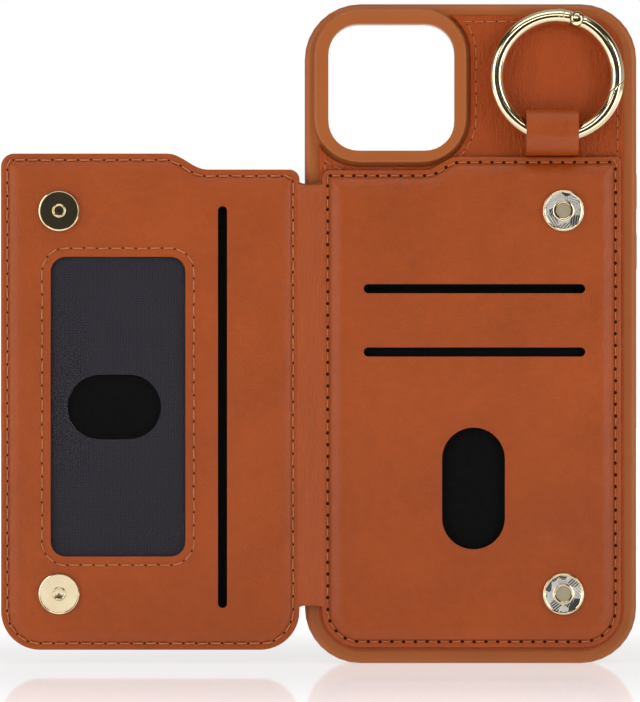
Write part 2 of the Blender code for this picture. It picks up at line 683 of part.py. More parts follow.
RING_CENTRE = Vector((0, 0, RING_RADIUS - RING_PIVOT_RISE))     # from the swing axis, before the lean


def on_ring(degrees, radius=RING_RADIUS):
    """A point on the ring, by its angle clockwise from the top, from the swing axis."""
    angle = math.radians(degrees)
    return RING_CENTRE + radius * Vector((math.sin(angle), 0, math.cos(angle)))


def ring_place(thing):
    """Move an object from the ring's own frame to its leaning place."""
    thing.matrix_basis = ring_matrix @ thing.matrix_basis
    return thing


def ring_wire(name, start, end):
    """The ring's wire between two angles."""
    steps = round(abs(end - start) / 4.5)
    points = [on_ring(start + (end - start) * step / steps) for step in range(steps + 1)]
    return ring_place(wire(name, points, RING_WIRE, 12))


def knuckle_plate(name, far_angle, radius, inner, outer):
    """A flat plate with a round end at the pin, which reaches along the wire to an angle."""
    pin, far = on_ring(PIN_ANGLE), on_ring(far_angle)
    along = (far - pin).normalized()
    across = Vector((-along.z, 0, along.x))
    start = math.atan2(across.z, across.x)
    points = [far + across * radius]
    for step in range(ARC_STEPS + 1):
        angle = start + math.pi * step / ARC_STEPS
        points.append(pin + radius * Vector((math.cos(angle), 0, math.sin(angle))))
    points.append(far - across * radius)
    return ring_place(slab(name, [[(point.x, point.z) for point in points]], inner, outer, tools))


def pin_hole(name):
    """A cutter for the pin's hole through the knuckle."""
    pin = on_ring(PIN_ANGLE)
    size = 2 * (PIN_RADIUS + GAP)
    return ring_place(slab(name, [stadium(pin.x, pin.z, size, size * 1.0001)], -3 * MM, 3 * MM, tools))


def past_latch(name, way):
    """A cutter for all that lies past the latch: on the gate's far side for 1, on the body's for -1."""
    angle, slant = math.radians(LATCH_ANGLE), math.radians(LATCH_SLANT)
    out = Vector((math.sin(angle), 0, math.cos(angle)))
    along = Vector((math.cos(angle), 0, -math.sin(angle)))
    normal = along * math.cos(slant) + out * math.sin(slant)
    edge = along * math.sin(slant) - out * math.cos(slant)
    near = on_ring(LATCH_ANGLE) - normal * (way * LATCH_HALF_GAP)
    far = on_ring(LATCH_ANGLE) + normal * (way * 8 * MM)
    reach = edge * (6 * MM)
    points = [near - reach, near + reach, far + reach, far - reach]
    return ring_place(slab(name, [[(point.x, point.z) for point in points]], -3 * MM, 3 * MM, tools))


def make_ring():
    """The ring's fixed wire with its fork, collar, pin and spring, and the gate with its tongue."""
    body_end = PIN_ANGLE - KNUCKLE_GAP_ANGLE
    body = ring_wire("ring_body", LATCH_ANGLE - LATCH_OVERRUN, 360 + body_end)
    combine(body, past_latch("latch_body_cut", -1), "DIFFERENCE")
    for name, way in (("fork_near", -1), ("fork_far", 1)):
        plate = knuckle_plate(name, body_end - KNUCKLE_ROOT_ANGLE, KNUCKLE_RADIUS, way * KNUCKLE_SLOT,
                              way * (RING_WIRE - 0.15 * MM))
        combine(body, plate, "UNION")
    combine(body, pin_hole("fork_hole"), "DIFFERENCE")
    near, far = on_ring(body_end), on_ring(body_end - math.degrees(SPRING_LENGTH / RING_RADIUS))
    along = (far - near).normalized()
    spring_bore = wire("spring_bore", [near - along * MM, near + along * (SPRING_LENGTH + 2 * GAP)],
                       SPRING_RADIUS + SPRING_WIRE + GAP, 10, tools)
    combine(body, ring_place(spring_bore), "DIFFERENCE")
    finish(body, "gold", ring_pivot)

    across = Vector((-along.z, 0, along.x))
    turns = []
    for step in range(SPRING_TURNS * 8 + 1):
        angle = math.pi / 4 * step
        rise = GAP + SPRING_WIRE + (SPRING_LENGTH - 2 * SPRING_WIRE) * step / (SPRING_TURNS * 8)
        side = across * math.cos(angle) + Vector((0, 1, 0)) * math.sin(angle)
        turns.append(near + along * rise + side * SPRING_RADIUS)
    finish(ring_place(wire("gate_spring", turns, SPRING_WIRE, 8)), "magnet", ring_pivot)

    inside, outside, half = RING_WIRE + GAP, COLLAR_RADIUS, COLLAR_LENGTH / 2
    profile = [(outside, half), (outside, -half), (inside, -half), (inside, half)]
    collar = turned("ring_collar", profile, (0, 0, 0), 20)
    sideways = Matrix.Rotation(math.radians(COLLAR_ANGLE), 4, "Y") @ Matrix.Rotation(math.pi / 2, 4, "Y")
    collar.matrix_basis = Matrix.Translation(on_ring(COLLAR_ANGLE)) @ sideways
    finish(ring_place(collar), "gold", ring_pivot)

    pin = on_ring(PIN_ANGLE)
    size = 2 * PIN_RADIUS
    finish(ring_place(slab("gate_pin", [stadium(pin.x, pin.z, size, size * 1.0001)], -PIN_REACH, PIN_REACH)),
           "gold", ring_pivot)

    gate_start = PIN_ANGLE + KNUCKLE_GAP_ANGLE
    gate = ring_wire("ring_gate", gate_start, LATCH_ANGLE + LATCH_OVERRUN)
    combine(gate, past_latch("latch_gate_cut", 1), "DIFFERENCE")
    tongue = knuckle_plate("gate_tongue", gate_start + KNUCKLE_ROOT_ANGLE, KNUCKLE_RADIUS - 0.2 * MM,
                           -TONGUE_HALF, TONGUE_HALF)
    combine(gate, tongue, "UNION")
    combine(gate, pin_hole("tongue_hole"), "DIFFERENCE")
    finish(gate, "gold", gate_pivot)


# ---------------------------------------------------------------- assembly

clear_scene()
parts = new_collection("phone_wallet_case")
tools = new_collection("cutters")
materials = make_materials()

footprint = empty("footprint", (0, 0, 0))
spine_hinge = empty("spine_hinge", (SPINE_FOLD, BORDER_FACE, 0), footprint)
flap_hinge = empty("flap_hinge", (FLAP_FOLD, BORDER_FACE, 0), spine_hinge)
ring_pivot = empty("ring_pivot", (RING_X, RING_PIVOT_LEVEL, RING_PIVOT_HEIGHT), footprint, -RING_LEAN)
ring_matrix = case_matrix(ring_pivot)
gate_pivot = empty("gate_pivot", ring_matrix @ on_ring(PIN_ANGLE), ring_pivot)

make_shell()
make_buttons()
make_back_leather()
make_pocket()
make_ring_tab()
make_spine()
make_flap()
make_snaps()
make_ring()

# The deepest points across are the shell's lip and the knuckle side of the ring's tab.
deepest = RING_PIVOT_LEVEL - TAB_CAVITY - LEATHER
footprint.location = (-FOOTPRINT_X, -(SHELL_FRONT + deepest) / 2, 0)
bpy.context.view_layer.update()
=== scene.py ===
"""Looks of the phone wallet case: stitched leather, gold fittings, moulded shell and studio.

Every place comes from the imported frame, in metres. "Level" is a Y place: a more negative level is
nearer to the pocket side. An outline is a list of (x, z) points seen from the pocket side.
"""
import json
import logging
import math
from dataclasses import dataclass, field
from enum import Enum
from typing import Callable, Optional, Sequence

import bmesh
import bpy
from mathutils import Matrix, Vector


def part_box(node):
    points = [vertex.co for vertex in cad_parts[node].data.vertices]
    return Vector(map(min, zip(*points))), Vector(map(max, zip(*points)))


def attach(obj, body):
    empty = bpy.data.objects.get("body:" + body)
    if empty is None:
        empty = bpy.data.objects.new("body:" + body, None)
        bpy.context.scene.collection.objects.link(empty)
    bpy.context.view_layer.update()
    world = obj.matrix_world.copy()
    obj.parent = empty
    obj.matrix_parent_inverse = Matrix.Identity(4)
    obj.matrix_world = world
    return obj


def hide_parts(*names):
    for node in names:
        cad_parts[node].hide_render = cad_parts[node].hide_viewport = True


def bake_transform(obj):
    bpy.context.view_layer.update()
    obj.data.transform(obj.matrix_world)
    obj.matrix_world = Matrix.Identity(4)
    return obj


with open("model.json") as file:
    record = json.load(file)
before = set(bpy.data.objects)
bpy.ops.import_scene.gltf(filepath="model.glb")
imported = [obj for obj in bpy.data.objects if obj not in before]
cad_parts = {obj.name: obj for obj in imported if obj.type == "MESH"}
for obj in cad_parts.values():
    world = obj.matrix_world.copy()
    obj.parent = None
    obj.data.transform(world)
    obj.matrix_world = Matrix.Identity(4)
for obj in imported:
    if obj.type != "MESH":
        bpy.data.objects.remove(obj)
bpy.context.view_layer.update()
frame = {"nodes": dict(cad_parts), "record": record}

LOG = logging.getLogger("wallet_case")
MM = 0.001
ARC_STEPS = 12
Colour = tuple[float, float, float]
Place = tuple[float, float, float]
Box = tuple[float, float, float, float]
Profile = Sequence[tuple[float, float]]
Ring = list[Vector]
Piece = bpy.types.Object
Material = bpy.types.Material
Tree = bpy.types.NodeTree
Socket = bpy.types.NodeSocket


class Slot(Enum):
    """The record's material slots."""

    TPU = "tpu"
    LEATHER = "leather"
    LINING = "lining"
    BOARD = "board"
    FILM = "film"
    THREAD = "thread"
    GOLD = "gold"
    STEEL = "steel"


class Body(Enum):
    """The CAD bodies that pieces ride on."""

    CASE = "case"
    SPINE = "spine"
    FLAP = "flap"
    RING = "ring"
    GATE = "gate"
    VOLUME_UP = "volume_up"
    VOLUME_DOWN = "volume_down"
    SIDE = "side"


# ---------------------------------------------------------------- outlines

def rounded(corners: Sequence[tuple[float, float, float]], steps: int = ARC_STEPS) -> list[Vector]:
    """Points round a polygon, with an arc of a fixed number of steps at each round corner.

    Args:
        corners: (x, z, radius) of each corner, in order.
        steps: straight steps in each arc.

    Returns:
        The outline's points.
    """
    points: list[Vector] = []
    for index, (x, z, radius) in enumerate(corners):
        corner = Vector((x, z))
        if radius <= 0:
            points.append(corner)
            continue
        before = (Vector(corners[index - 1][:2]) - corner).normalized()
        after = (Vector(corners[(index + 1) % len(corners)][:2]) - corner).normalized()
        half = before.angle(after) / 2
        centre = corner + (before + after).normalized() * (radius / math.sin(half))
        start = corner + before * (radius / math.tan(half)) - centre
        turn = math.pi - 2 * half
        if before.x * after.y - before.y * after.x > 0:
            turn = -turn
        for step in range(steps + 1):
            points.append(centre + Matrix.Rotation(turn * step / steps, 2) @ start)
    return points


def rectangle(left: float, right: float, low: float, high: float, radius: float) -> list[Vector]:
    """The outline of a rectangle with round corners."""
    return rounded([(left, low, radius), (right, low, radius), (right, high, radius),
                    (left, high, radius)])


def stadium(x: float, z: float, width: float, height: float) -> list[Vector]:
    """The outline of a slot with round ends."""
    radius = min(width, height) / 2 * 0.9999
    return rectangle(x - width / 2, x + width / 2, z - height / 2, z + height / 2, radius)


def s_curve(start: tuple[float, float], end: tuple[float, float],
            steps: int = 10) -> list[tuple[float, float, float]]:
    """Corners of a smooth step between two points, level at each end."""
    points = []
    for step in range(steps + 1):
        share = step / steps
        rise = (1 - math.cos(math.pi * share)) / 2
        across = start[0] + (end[0] - start[0]) * share
        points.append((across, start[1] + (end[1] - start[1]) * rise, 0.0))
    return points


def in_mm(*pairs: tuple[float, float]) -> list[tuple[float, float]]:
    """Pairs of millimetres as pairs of metres."""
    return [(first * MM, second * MM) for first, second in pairs]


def arc(centre: Vector, radius: float, start: float, end: float,
        steps: int = ARC_STEPS) -> list[Vector]:
    """Points on an arc between two angles."""
    angles = [start + (end - start) * step / steps for step in range(steps + 1)]
    return [centre + radius * Vector((math.cos(angle), math.sin(angle))) for angle in angles]


def at_level(outline: Sequence[Vector], level: float) -> Ring:
    """The outline's points as places in space at one level."""
    return [Vector((point.x, level, point.y)) for point in outline]


# ---------------------------------------------------------------- modelling helpers

def deselect() -> None:
    """Leave object mode with nothing selected."""
    if bpy.context.object and bpy.context.object.mode != "OBJECT":
        bpy.ops.object.mode_set(mode="OBJECT")
    bpy.ops.object.select_all(action="DESELECT")


def pick(piece: Piece) -> None:
    """Make a piece the only one selected, and the active one."""
    deselect()
    piece.select_set(True)
    bpy.context.view_layer.objects.active = piece


def loft(name: str, rings: Sequence[Sequence[Vector]], joined: bool = False) -> Piece:
    """Model a body by extruding one loop of edges from ring to ring, and capping its ends.

    Args:
        name: the piece's name.
        rings: the places of each loop's points, all of the same count.
        joined: the last ring meets the first, so there are no caps.

    Returns:
        The new mesh object, with faces that point outwards.
    """
    deselect()
    bpy.ops.mesh.primitive_circle_add(vertices=len(rings[0]), radius=0.01, fill_type="NOTHING")
    piece = bpy.context.object
    piece.name = piece.data.name = name
    bpy.ops.object.mode_set(mode="EDIT")
    bpy.ops.mesh.select_mode(type="EDGE")
    bpy.ops.mesh.select_all(action="SELECT")
    shape = bmesh.from_edit_mesh(piece.data)
    order = shape.verts.layers.int.new("order")
    shape.verts.ensure_lookup_table()
    for index, place in enumerate(rings[0]):
        shape.verts[index][order] = index
        shape.verts[index].co = place
    bmesh.update_edit_mesh(piece.data)
    for ring in rings[1:]:
        bpy.ops.mesh.extrude_edges_indiv()
        shape = bmesh.from_edit_mesh(piece.data)
        order = shape.verts.layers.int["order"]
        for vertex in shape.verts:
            if vertex.select:
                vertex.co = ring[vertex[order]]
        bmesh.update_edit_mesh(piece.data)
    if joined:
        bpy.ops.mesh.select_all(action="SELECT")
        bpy.ops.mesh.remove_doubles(threshold=0.000002)
    else:
        bpy.ops.mesh.edge_face_add()
        bpy.ops.mesh.select_all(action="DESELECT")
        shape = bmesh.from_edit_mesh(piece.data)
        for edge in shape.edges:
            edge.select_set(edge.is_boundary)
        bmesh.update_edit_mesh(piece.data)
        bpy.ops.mesh.edge_face_add()
    bpy.ops.mesh.select_all(action="SELECT")
    bpy.ops.mesh.normals_make_consistent(inside=False)
    bpy.ops.object.mode_set(mode="OBJECT")
    piece.data.attributes.remove(piece.data.attributes["order"])
    return piece


def prism(name: str, outline: Sequence[Vector], front: float, back: float) -> Piece:
    """A straight block of an outline between two levels."""
    return loft(name, [at_level(outline, front), at_level(outline, back)])


def turned(name: str, profile: Profile, place: Vector, steps: int = 48,
           tilt: Optional[Matrix] = None) -> Piece:
    """Turn a closed profile about an axis that points at the pocket side.

    Args:
        name: the piece's name.
        profile: (radius, height) of each point, the height towards the pocket side.
        place: the axis's foot.
        steps: steps in the full turn.
        tilt: an extra turn of the piece about its place.
    """
    rings = []
    for step in range(steps + 1):
        angle = 2 * math.pi * (step % steps) / steps
        ring = [Vector((radius * math.cos(angle), -height, radius * math.sin(angle)))
                for radius, height in profile]
        rings.append([place + (tilt @ point if tilt else point) for point in ring])
    return loft(name, rings, joined=True)


def apply_modifiers(piece: Piece) -> None:
    """Apply every modifier of a piece, in order."""
    pick(piece)
    for modifier in list(piece.modifiers):
        bpy.ops.object.modifier_apply(modifier=modifier.name)


def cut(piece: Piece, cutters: Sequence[Piece]) -> None:
    """Cut other objects out of a piece. They are then removed."""
    for cutter in cutters:
        boolean = piece.modifiers.new(cutter.name, "BOOLEAN")
        boolean.operation = "DIFFERENCE"
        boolean.object = cutter
        boolean.solver = "EXACT"
    apply_modifiers(piece)
    for cutter in cutters:
        bpy.data.objects.remove(cutter, do_unlink=True)


def soften(piece: Piece, width: float, angle: float = 50.0, segments: int = 2) -> None:
    """Round the edges of a piece that are sharper than an angle."""
    bevel = piece.modifiers.new("soft_edges", "BEVEL")
    bevel.width = width
    bevel.segments = segments
    bevel.limit_method = "ANGLE"
    bevel.angle_limit = math.radians(angle)
    bevel.use_clamp_overlap = True
    apply_modifiers(piece)


def smooth(piece: Piece, angle: float = 40.0, weighted: bool = False) -> None:
    """Shade a piece smooth, with an even normal over its large flat faces where asked."""
    pick(piece)
    bpy.ops.object.shade_smooth_by_angle(angle=math.radians(angle))
    if weighted:
        even = piece.modifiers.new("even_normals", "WEIGHTED_NORMAL")
        even.mode = "FACE_AREA"
        even.weight = 90
        even.keep_sharp = True
        apply_modifiers(piece)


def dress(piece: Piece, material: Material, body: Body, slot: Slot, *nodes: str) -> None:
    """Give a piece its material, its body and the CAD nodes that it stands for."""
    piece.data.materials.clear()
    piece.data.materials.append(material)
    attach(piece, body.value)
    if nodes:
        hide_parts(*nodes)
    LOG.info("%s: %d faces", piece.name, len(piece.data.polygons))


def fine_copy(node: str, name: str, edge: float) -> Piece:
    """A welded copy of a CAD node with its flat faces made whole and its edges softened.

    Args:
        node: the CAD node.
        name: the new piece's name.
        edge: radius of the softened edges.
    """
    source = frame["nodes"][node]
    piece = bpy.data.objects.new(name, source.data.copy())
    bpy.context.scene.collection.objects.link(piece)
    pick(piece)
    bpy.ops.object.mode_set(mode="EDIT")
    bpy.ops.mesh.select_all(action="SELECT")
    bpy.ops.mesh.remove_doubles(threshold=0.000003)
    bpy.ops.mesh.dissolve_limited(angle_limit=math.radians(0.6))
    bpy.ops.object.mode_set(mode="OBJECT")
    if edge > 0:
        soften(piece, edge, 45.0)
    smooth(piece, 35.0, weighted=True)
    return piece


# ---------------------------------------------------------------- node groups and finishes

def group_socket(group: Tree, name: str, kind: str, output: bool, default: float = 0.0) -> None:
    """Add one named socket to a node group."""
    way = "OUTPUT" if output else "INPUT"
    socket = group.interface.new_socket(name=name, in_out=way, socket_type=kind)
    if not output and kind == "NodeSocketFloat":
        socket.default_value = default


def link(tree: Tree, start: Socket, end: Socket) -> None:
    """Join two sockets."""
    tree.links.new(start, end)


def noise(tree: Tree, vector: Socket, scale: float, detail: float = 3.0,
          roughness: float = 0.5) -> Socket:
    """A noise texture's value."""
    node = tree.nodes.new("ShaderNodeTexNoise")
    node.inputs["Scale"].default_value = scale
    node.inputs["Detail"].default_value = detail
    node.inputs["Roughness"].default_value = roughness
    link(tree, vector, node.inputs["Vector"])
    return node.outputs["Fac"]


def math_node(tree: Tree, operation: str, first: Socket | float,
              second: Socket | float = 0.0) -> Socket:
    """One step of arithmetic on sockets or numbers."""
    node = tree.nodes.new("ShaderNodeMath")
    node.operation = operation
    for socket, value in zip(node.inputs, (first, second)):
        if isinstance(value, (int, float)):
            socket.default_value = value
        else:
            link(tree, value, socket)
    return node.outputs[0]


def blend_of(tree: Tree, first: Socket, share: float, second: Socket, other: float) -> Socket:
    """The sum of two values, each times its own share."""
    return math_node(tree, "ADD", math_node(tree, "MULTIPLY", first, share),
                     math_node(tree, "MULTIPLY", second, other))


def object_place(tree: Tree) -> Socket:
    """The place in the object's own coordinates."""
    return tree.nodes.new("ShaderNodeTexCoord").outputs["Object"]


def split_axes(tree: Tree, vector: Socket) -> bpy.types.NodeOutputs:
    """The X, Y and Z of a vector."""
    node = tree.nodes.new("ShaderNodeSeparateXYZ")
    link(tree, vector, node.inputs[0])
    return node.outputs


def ramp(tree: Tree, factor: Socket, low: float, dark: Colour, high: float,
         light: Colour) -> Socket:
    """A colour between two tones."""
    node = tree.nodes.new("ShaderNodeValToRGB")
    for element, position, colour in zip(node.color_ramp.elements, (low, high), (dark, light)):
        element.position = position
        element.color = (*colour, 1.0)
    link(tree, factor, node.inputs["Fac"])
    return node.outputs["Color"]


def grain_group() -> Tree:
    """Leather grain: pebbles and fine creases, with a slow change of tone."""
    group = bpy.data.node_groups.new("leather_grain", "ShaderNodeTree")
    group_socket(group, "Vector", "NodeSocketVector", False)
    group_socket(group, "Pebble Scale", "NodeSocketFloat", False, 2200.0)
    group_socket(group, "Crease", "NodeSocketFloat", False, 0.4)
    for name in ("Height", "Tone", "Gloss"):
        group_socket(group, name, "NodeSocketFloat", True)
    entry = group.nodes.new("NodeGroupInput")
    leave = group.nodes.new("NodeGroupOutput")
    vector = entry.outputs["Vector"]
    warp = group.nodes.new("ShaderNodeTexNoise")
    warp.inputs["Scale"].default_value = 700.0
    link(group, vector, warp.inputs["Vector"])
    shift = group.nodes.new("ShaderNodeVectorMath")
    shift.operation = "MULTIPLY_ADD"
    shift.inputs[1].default_value = (0.0006, 0.0006, 0.0006)
    link(group, warp.outputs["Color"], shift.inputs[0])
    link(group, vector, shift.inputs[2])
    pebble = group.nodes.new("ShaderNodeTexVoronoi")
    pebble.feature = "DISTANCE_TO_EDGE"
    link(group, shift.outputs[0], pebble.inputs["Vector"])
    link(group, entry.outputs["Pebble Scale"], pebble.inputs["Scale"])
    dome = math_node(group, "SMOOTH_MIN", pebble.outputs["Distance"], 0.22)
    fine = noise(group, vector, 5200.0, 4.0, 0.6)
    crease = noise(group, vector, 900.0, 5.0, 0.62)
    crease = math_node(group, "MULTIPLY", crease, entry.outputs["Crease"])
    height = blend_of(group, dome, 1.6, fine, 0.08)
    link(group, math_node(group, "ADD", height, crease), leave.inputs["Height"])
    slow = noise(group, vector, 38.0, 4.0, 0.55)
    mottle = noise(group, vector, 420.0, 3.0, 0.6)
    link(group, blend_of(group, slow, 0.65, mottle, 0.35), leave.inputs["Tone"])
    link(group, blend_of(group, fine, 0.5, slow, 0.5), leave.inputs["Gloss"])
    return group


def weave_group() -> Tree:
    """A plain weave of two crossed sets of fine threads."""
    group = bpy.data.node_groups.new("plain_weave", "ShaderNodeTree")
    group_socket(group, "Vector", "NodeSocketVector", False)
    group_socket(group, "Thread Scale", "NodeSocketFloat", False, 1500.0)
    group_socket(group, "Height", "NodeSocketFloat", True)
    entry = group.nodes.new("NodeGroupInput")
    leave = group.nodes.new("NodeGroupOutput")
    parts = split_axes(group, entry.outputs["Vector"])
    waves = []
    for axis in ("X", "Z"):
        turn = math_node(group, "MULTIPLY", parts[axis], entry.outputs["Thread Scale"])
        wave = math_node(group, "SINE", math_node(group, "MULTIPLY", turn, math.pi))
        waves.append(math_node(group, "ABSOLUTE", wave))
    link(group, math_node(group, "MAXIMUM", waves[0], waves[1]), leave.inputs["Height"])
    return group


def scuff_group() -> Tree:
    """Small changes of gloss on metal and plastic: smudges and hairlines."""
    group = bpy.data.node_groups.new("handling_marks", "ShaderNodeTree")
    group_socket(group, "Vector", "NodeSocketVector", False)
    group_socket(group, "Low", "NodeSocketFloat", False, 0.1)
    group_socket(group, "High", "NodeSocketFloat", False, 0.2)
    group_socket(group, "Roughness", "NodeSocketFloat", True)
    group_socket(group, "Height", "NodeSocketFloat", True)
    entry = group.nodes.new("NodeGroupInput")
    leave = group.nodes.new("NodeGroupOutput")
    smudge = noise(group, entry.outputs["Vector"], 260.0, 5.0, 0.65)
    span = math_node(group, "SUBTRACT", entry.outputs["High"], entry.outputs["Low"])
    rise = math_node(group, "MULTIPLY", smudge, span)
    link(group, math_node(group, "ADD", entry.outputs["Low"], rise), leave.inputs["Roughness"])
    link(group, noise(group, entry.outputs["Vector"], 3800.0, 2.0), leave.inputs["Height"])
    return group


GROUPS: dict[str, Tree] = {}


def shared_group(build: Callable[[], Tree]) -> Tree:
    """The node group that a function builds, built once."""
    if build.__name__ not in GROUPS:
        GROUPS[build.__name__] = build()
    return GROUPS[build.__name__]


@dataclass(frozen=True)
class Finish:
    """The plain part of a finish: its name, colour and gloss."""

    name: str
    colour: Colour
    roughness: float = 0.5
    metallic: float = 0.0

    def start(self, stretch: Place = (1.0, 1.0, 1.0)) -> tuple[Material, Tree,
                                                              bpy.types.Node, Socket]:
        """Make the material with its shader and a vector in the piece's own coordinates.

        Args:
            stretch: scale of the pattern along each axis.

        Returns:
            The material, its tree, its Principled shader and the vector.
        """
        material = bpy.data.materials.new(self.name)
        material.use_nodes = True
        tree = material.node_tree
        shader = tree.nodes["Principled BSDF"]
        shader.inputs["Base Color"].default_value = (*self.colour, 1.0)
        shader.inputs["Roughness"].default_value = self.roughness
        shader.inputs["Metallic"].default_value = self.metallic
        mapping = tree.nodes.new("ShaderNodeMapping")
        mapping.inputs["Scale"].default_value = stretch
        link(tree, object_place(tree), mapping.inputs["Vector"])
        return material, tree, shader, mapping.outputs["Vector"]

    def group(self, tree: Tree, build: Callable[[], Tree],
              vector: Socket, **values: float) -> bpy.types.Node:
        """Place a shared group in the material, with its own values."""
        node = tree.nodes.new("ShaderNodeGroup")
        node.node_tree = shared_group(build)
        link(tree, vector, node.inputs["Vector"])
        for name, value in values.items():
            node.inputs[name.replace("_", " ").title()].default_value = value
        return node

    def bump(self, tree: Tree, height: Socket, shader: bpy.types.Node,
             distance: float) -> None:
        """Drive the shader's normal from a height."""
        node = tree.nodes.new("ShaderNodeBump")
        node.inputs["Distance"].default_value = distance
        link(tree, height, node.inputs["Height"])
        link(tree, node.outputs["Normal"], shader.inputs["Normal"])

    def two_tone(self, tree: Tree, factor: Socket, shader: bpy.types.Node,
                 dark: Colour, light: Colour, low: float = 0.35, high: float = 0.65) -> None:
        """Drive the shader's colour between two tones."""
        link(tree, ramp(tree, factor, low, dark, high, light), shader.inputs["Base Color"])


@dataclass(frozen=True)
class LeatherFinish(Finish):
    """Fine-grained finished leather."""

    pebble: float = 2200.0
    crease: float = 0.4
    depth: float = 0.00006
    stretch: Place = (1.0, 1.0, 1.0)
    shade: float = 0.86
    lift: float = 1.1
    shine: float = 0.4

    def build(self) -> Material:
        """Make the material."""
        material, tree, shader, vector = self.start(self.stretch)
        grain = self.group(tree, grain_group, vector, pebble_scale=self.pebble, crease=self.crease)
        dark = tuple(value * self.shade for value in self.colour)
        light = tuple(value * self.lift for value in self.colour)
        self.two_tone(tree, grain.outputs["Tone"], shader, dark, light)
        gloss = math_node(tree, "MULTIPLY_ADD", grain.outputs["Gloss"], 0.14)
        gloss.node.inputs[2].default_value = self.roughness - 0.07
        link(tree, gloss, shader.inputs["Roughness"])
        self.bump(tree, grain.outputs["Height"], shader, self.depth)
        shader.inputs["Specular IOR Level"].default_value = self.shine
        return material


@dataclass(frozen=True)
class SmoothFinish(Finish):
    """Metal or moulded plastic with light handling marks."""

    low: float = 0.1
    high: float = 0.2
    depth: float = 0.000004
    shade: float = 0.92

    def build(self) -> Material:
        """Make the material."""
        material, tree, shader, vector = self.start()
        marks = self.group(tree, scuff_group, vector, low=self.low, high=self.high)
        link(tree, marks.outputs["Roughness"], shader.inputs["Roughness"])
        self.bump(tree, marks.outputs["Height"], shader, self.depth)
        slow = noise(tree, vector, 60.0, 3.0)
        dark = tuple(value * self.shade for value in self.colour)
        self.two_tone(tree, slow, shader, dark, self.colour)
        return material


@dataclass(frozen=True)
class HatchFinish(Finish):
    """Gold plate cut with fine parallel lines, which change direction from facet to facet; each
    cell's colour runs from near black to full gold as painted reflection, and the cut lines add
    painted glints.
    """

    line_scale: float = 3400.0

    def build(self) -> Material:
        """Make the material."""
        material, tree, shader, vector = self.start()
        cells = tree.nodes.new("ShaderNodeTexVoronoi")
        cells.inputs["Scale"].default_value = 420.0
        link(tree, vector, cells.inputs["Vector"])
        turn = tree.nodes.new("ShaderNodeVectorRotate")
        turn.rotation_type = "Y_AXIS"
        link(tree, vector, turn.inputs["Vector"])
        parts = tree.nodes.new("ShaderNodeSeparateColor")
        link(tree, cells.outputs["Color"], parts.inputs[0])
        link(tree, math_node(tree, "MULTIPLY", parts.outputs[0], math.pi), turn.inputs["Angle"])
        across = split_axes(tree, turn.outputs["Vector"])["X"]
        turns = math_node(tree, "MULTIPLY", across, self.line_scale * math.pi)
        line = math_node(tree, "SINE", turns)
        hatched = math_node(tree, "GREATER_THAN", parts.outputs[2], 0.3)
        cuts = math_node(tree, "MULTIPLY", line, hatched)
        self.bump(tree, cuts, shader, 0.000006)
        # painted reflection: each cell's tone, down to near black, stands for a facet catching or
        # missing the light, and the cut lines add painted glints
        dark = tuple(value * 0.09 for value in self.colour)
        tone = math_node(tree, "ADD", parts.outputs[1], math_node(tree, "MULTIPLY", cuts, 0.22))
        self.two_tone(tree, tone, shader, dark, self.colour, 0.3, 0.62)
        return material


@dataclass(frozen=True)
class ClothFinish(Finish):
    """Woven lining or twisted thread."""

    thread: float = 1500.0
    depth: float = 0.00004

    def build(self) -> Material:
        """Make the material."""
        material, tree, shader, vector = self.start()
        weave = self.group(tree, weave_group, vector, thread_scale=self.thread)
        self.bump(tree, weave.outputs["Height"], shader, self.depth)
        tone = noise(tree, vector, 900.0, 3.0)
        dark = tuple(value * 0.75 for value in self.colour)
        self.two_tone(tree, tone, shader, dark, self.colour)
        shader.inputs["Specular IOR Level"].default_value = 0.12
        return material


@dataclass(frozen=True)
class FilmFinish(Finish):
    """Clear flexible film with faint ripples."""

    def build(self) -> Material:
        """Make the material."""
        material, tree, shader, vector = self.start()
        shader.inputs["Transmission Weight"].default_value = 0.97
        shader.inputs["IOR"].default_value = 1.4
        ripple = noise(tree, vector, 55.0, 2.0)
        self.bump(tree, ripple, shader, 0.00004)
        slow = noise(tree, vector, 200.0, 3.0)
        rough = math_node(tree, "MULTIPLY_ADD", slow, 0.03)
        rough.node.inputs[2].default_value = self.roughness
        link(tree, rough, shader.inputs["Roughness"])
        return material


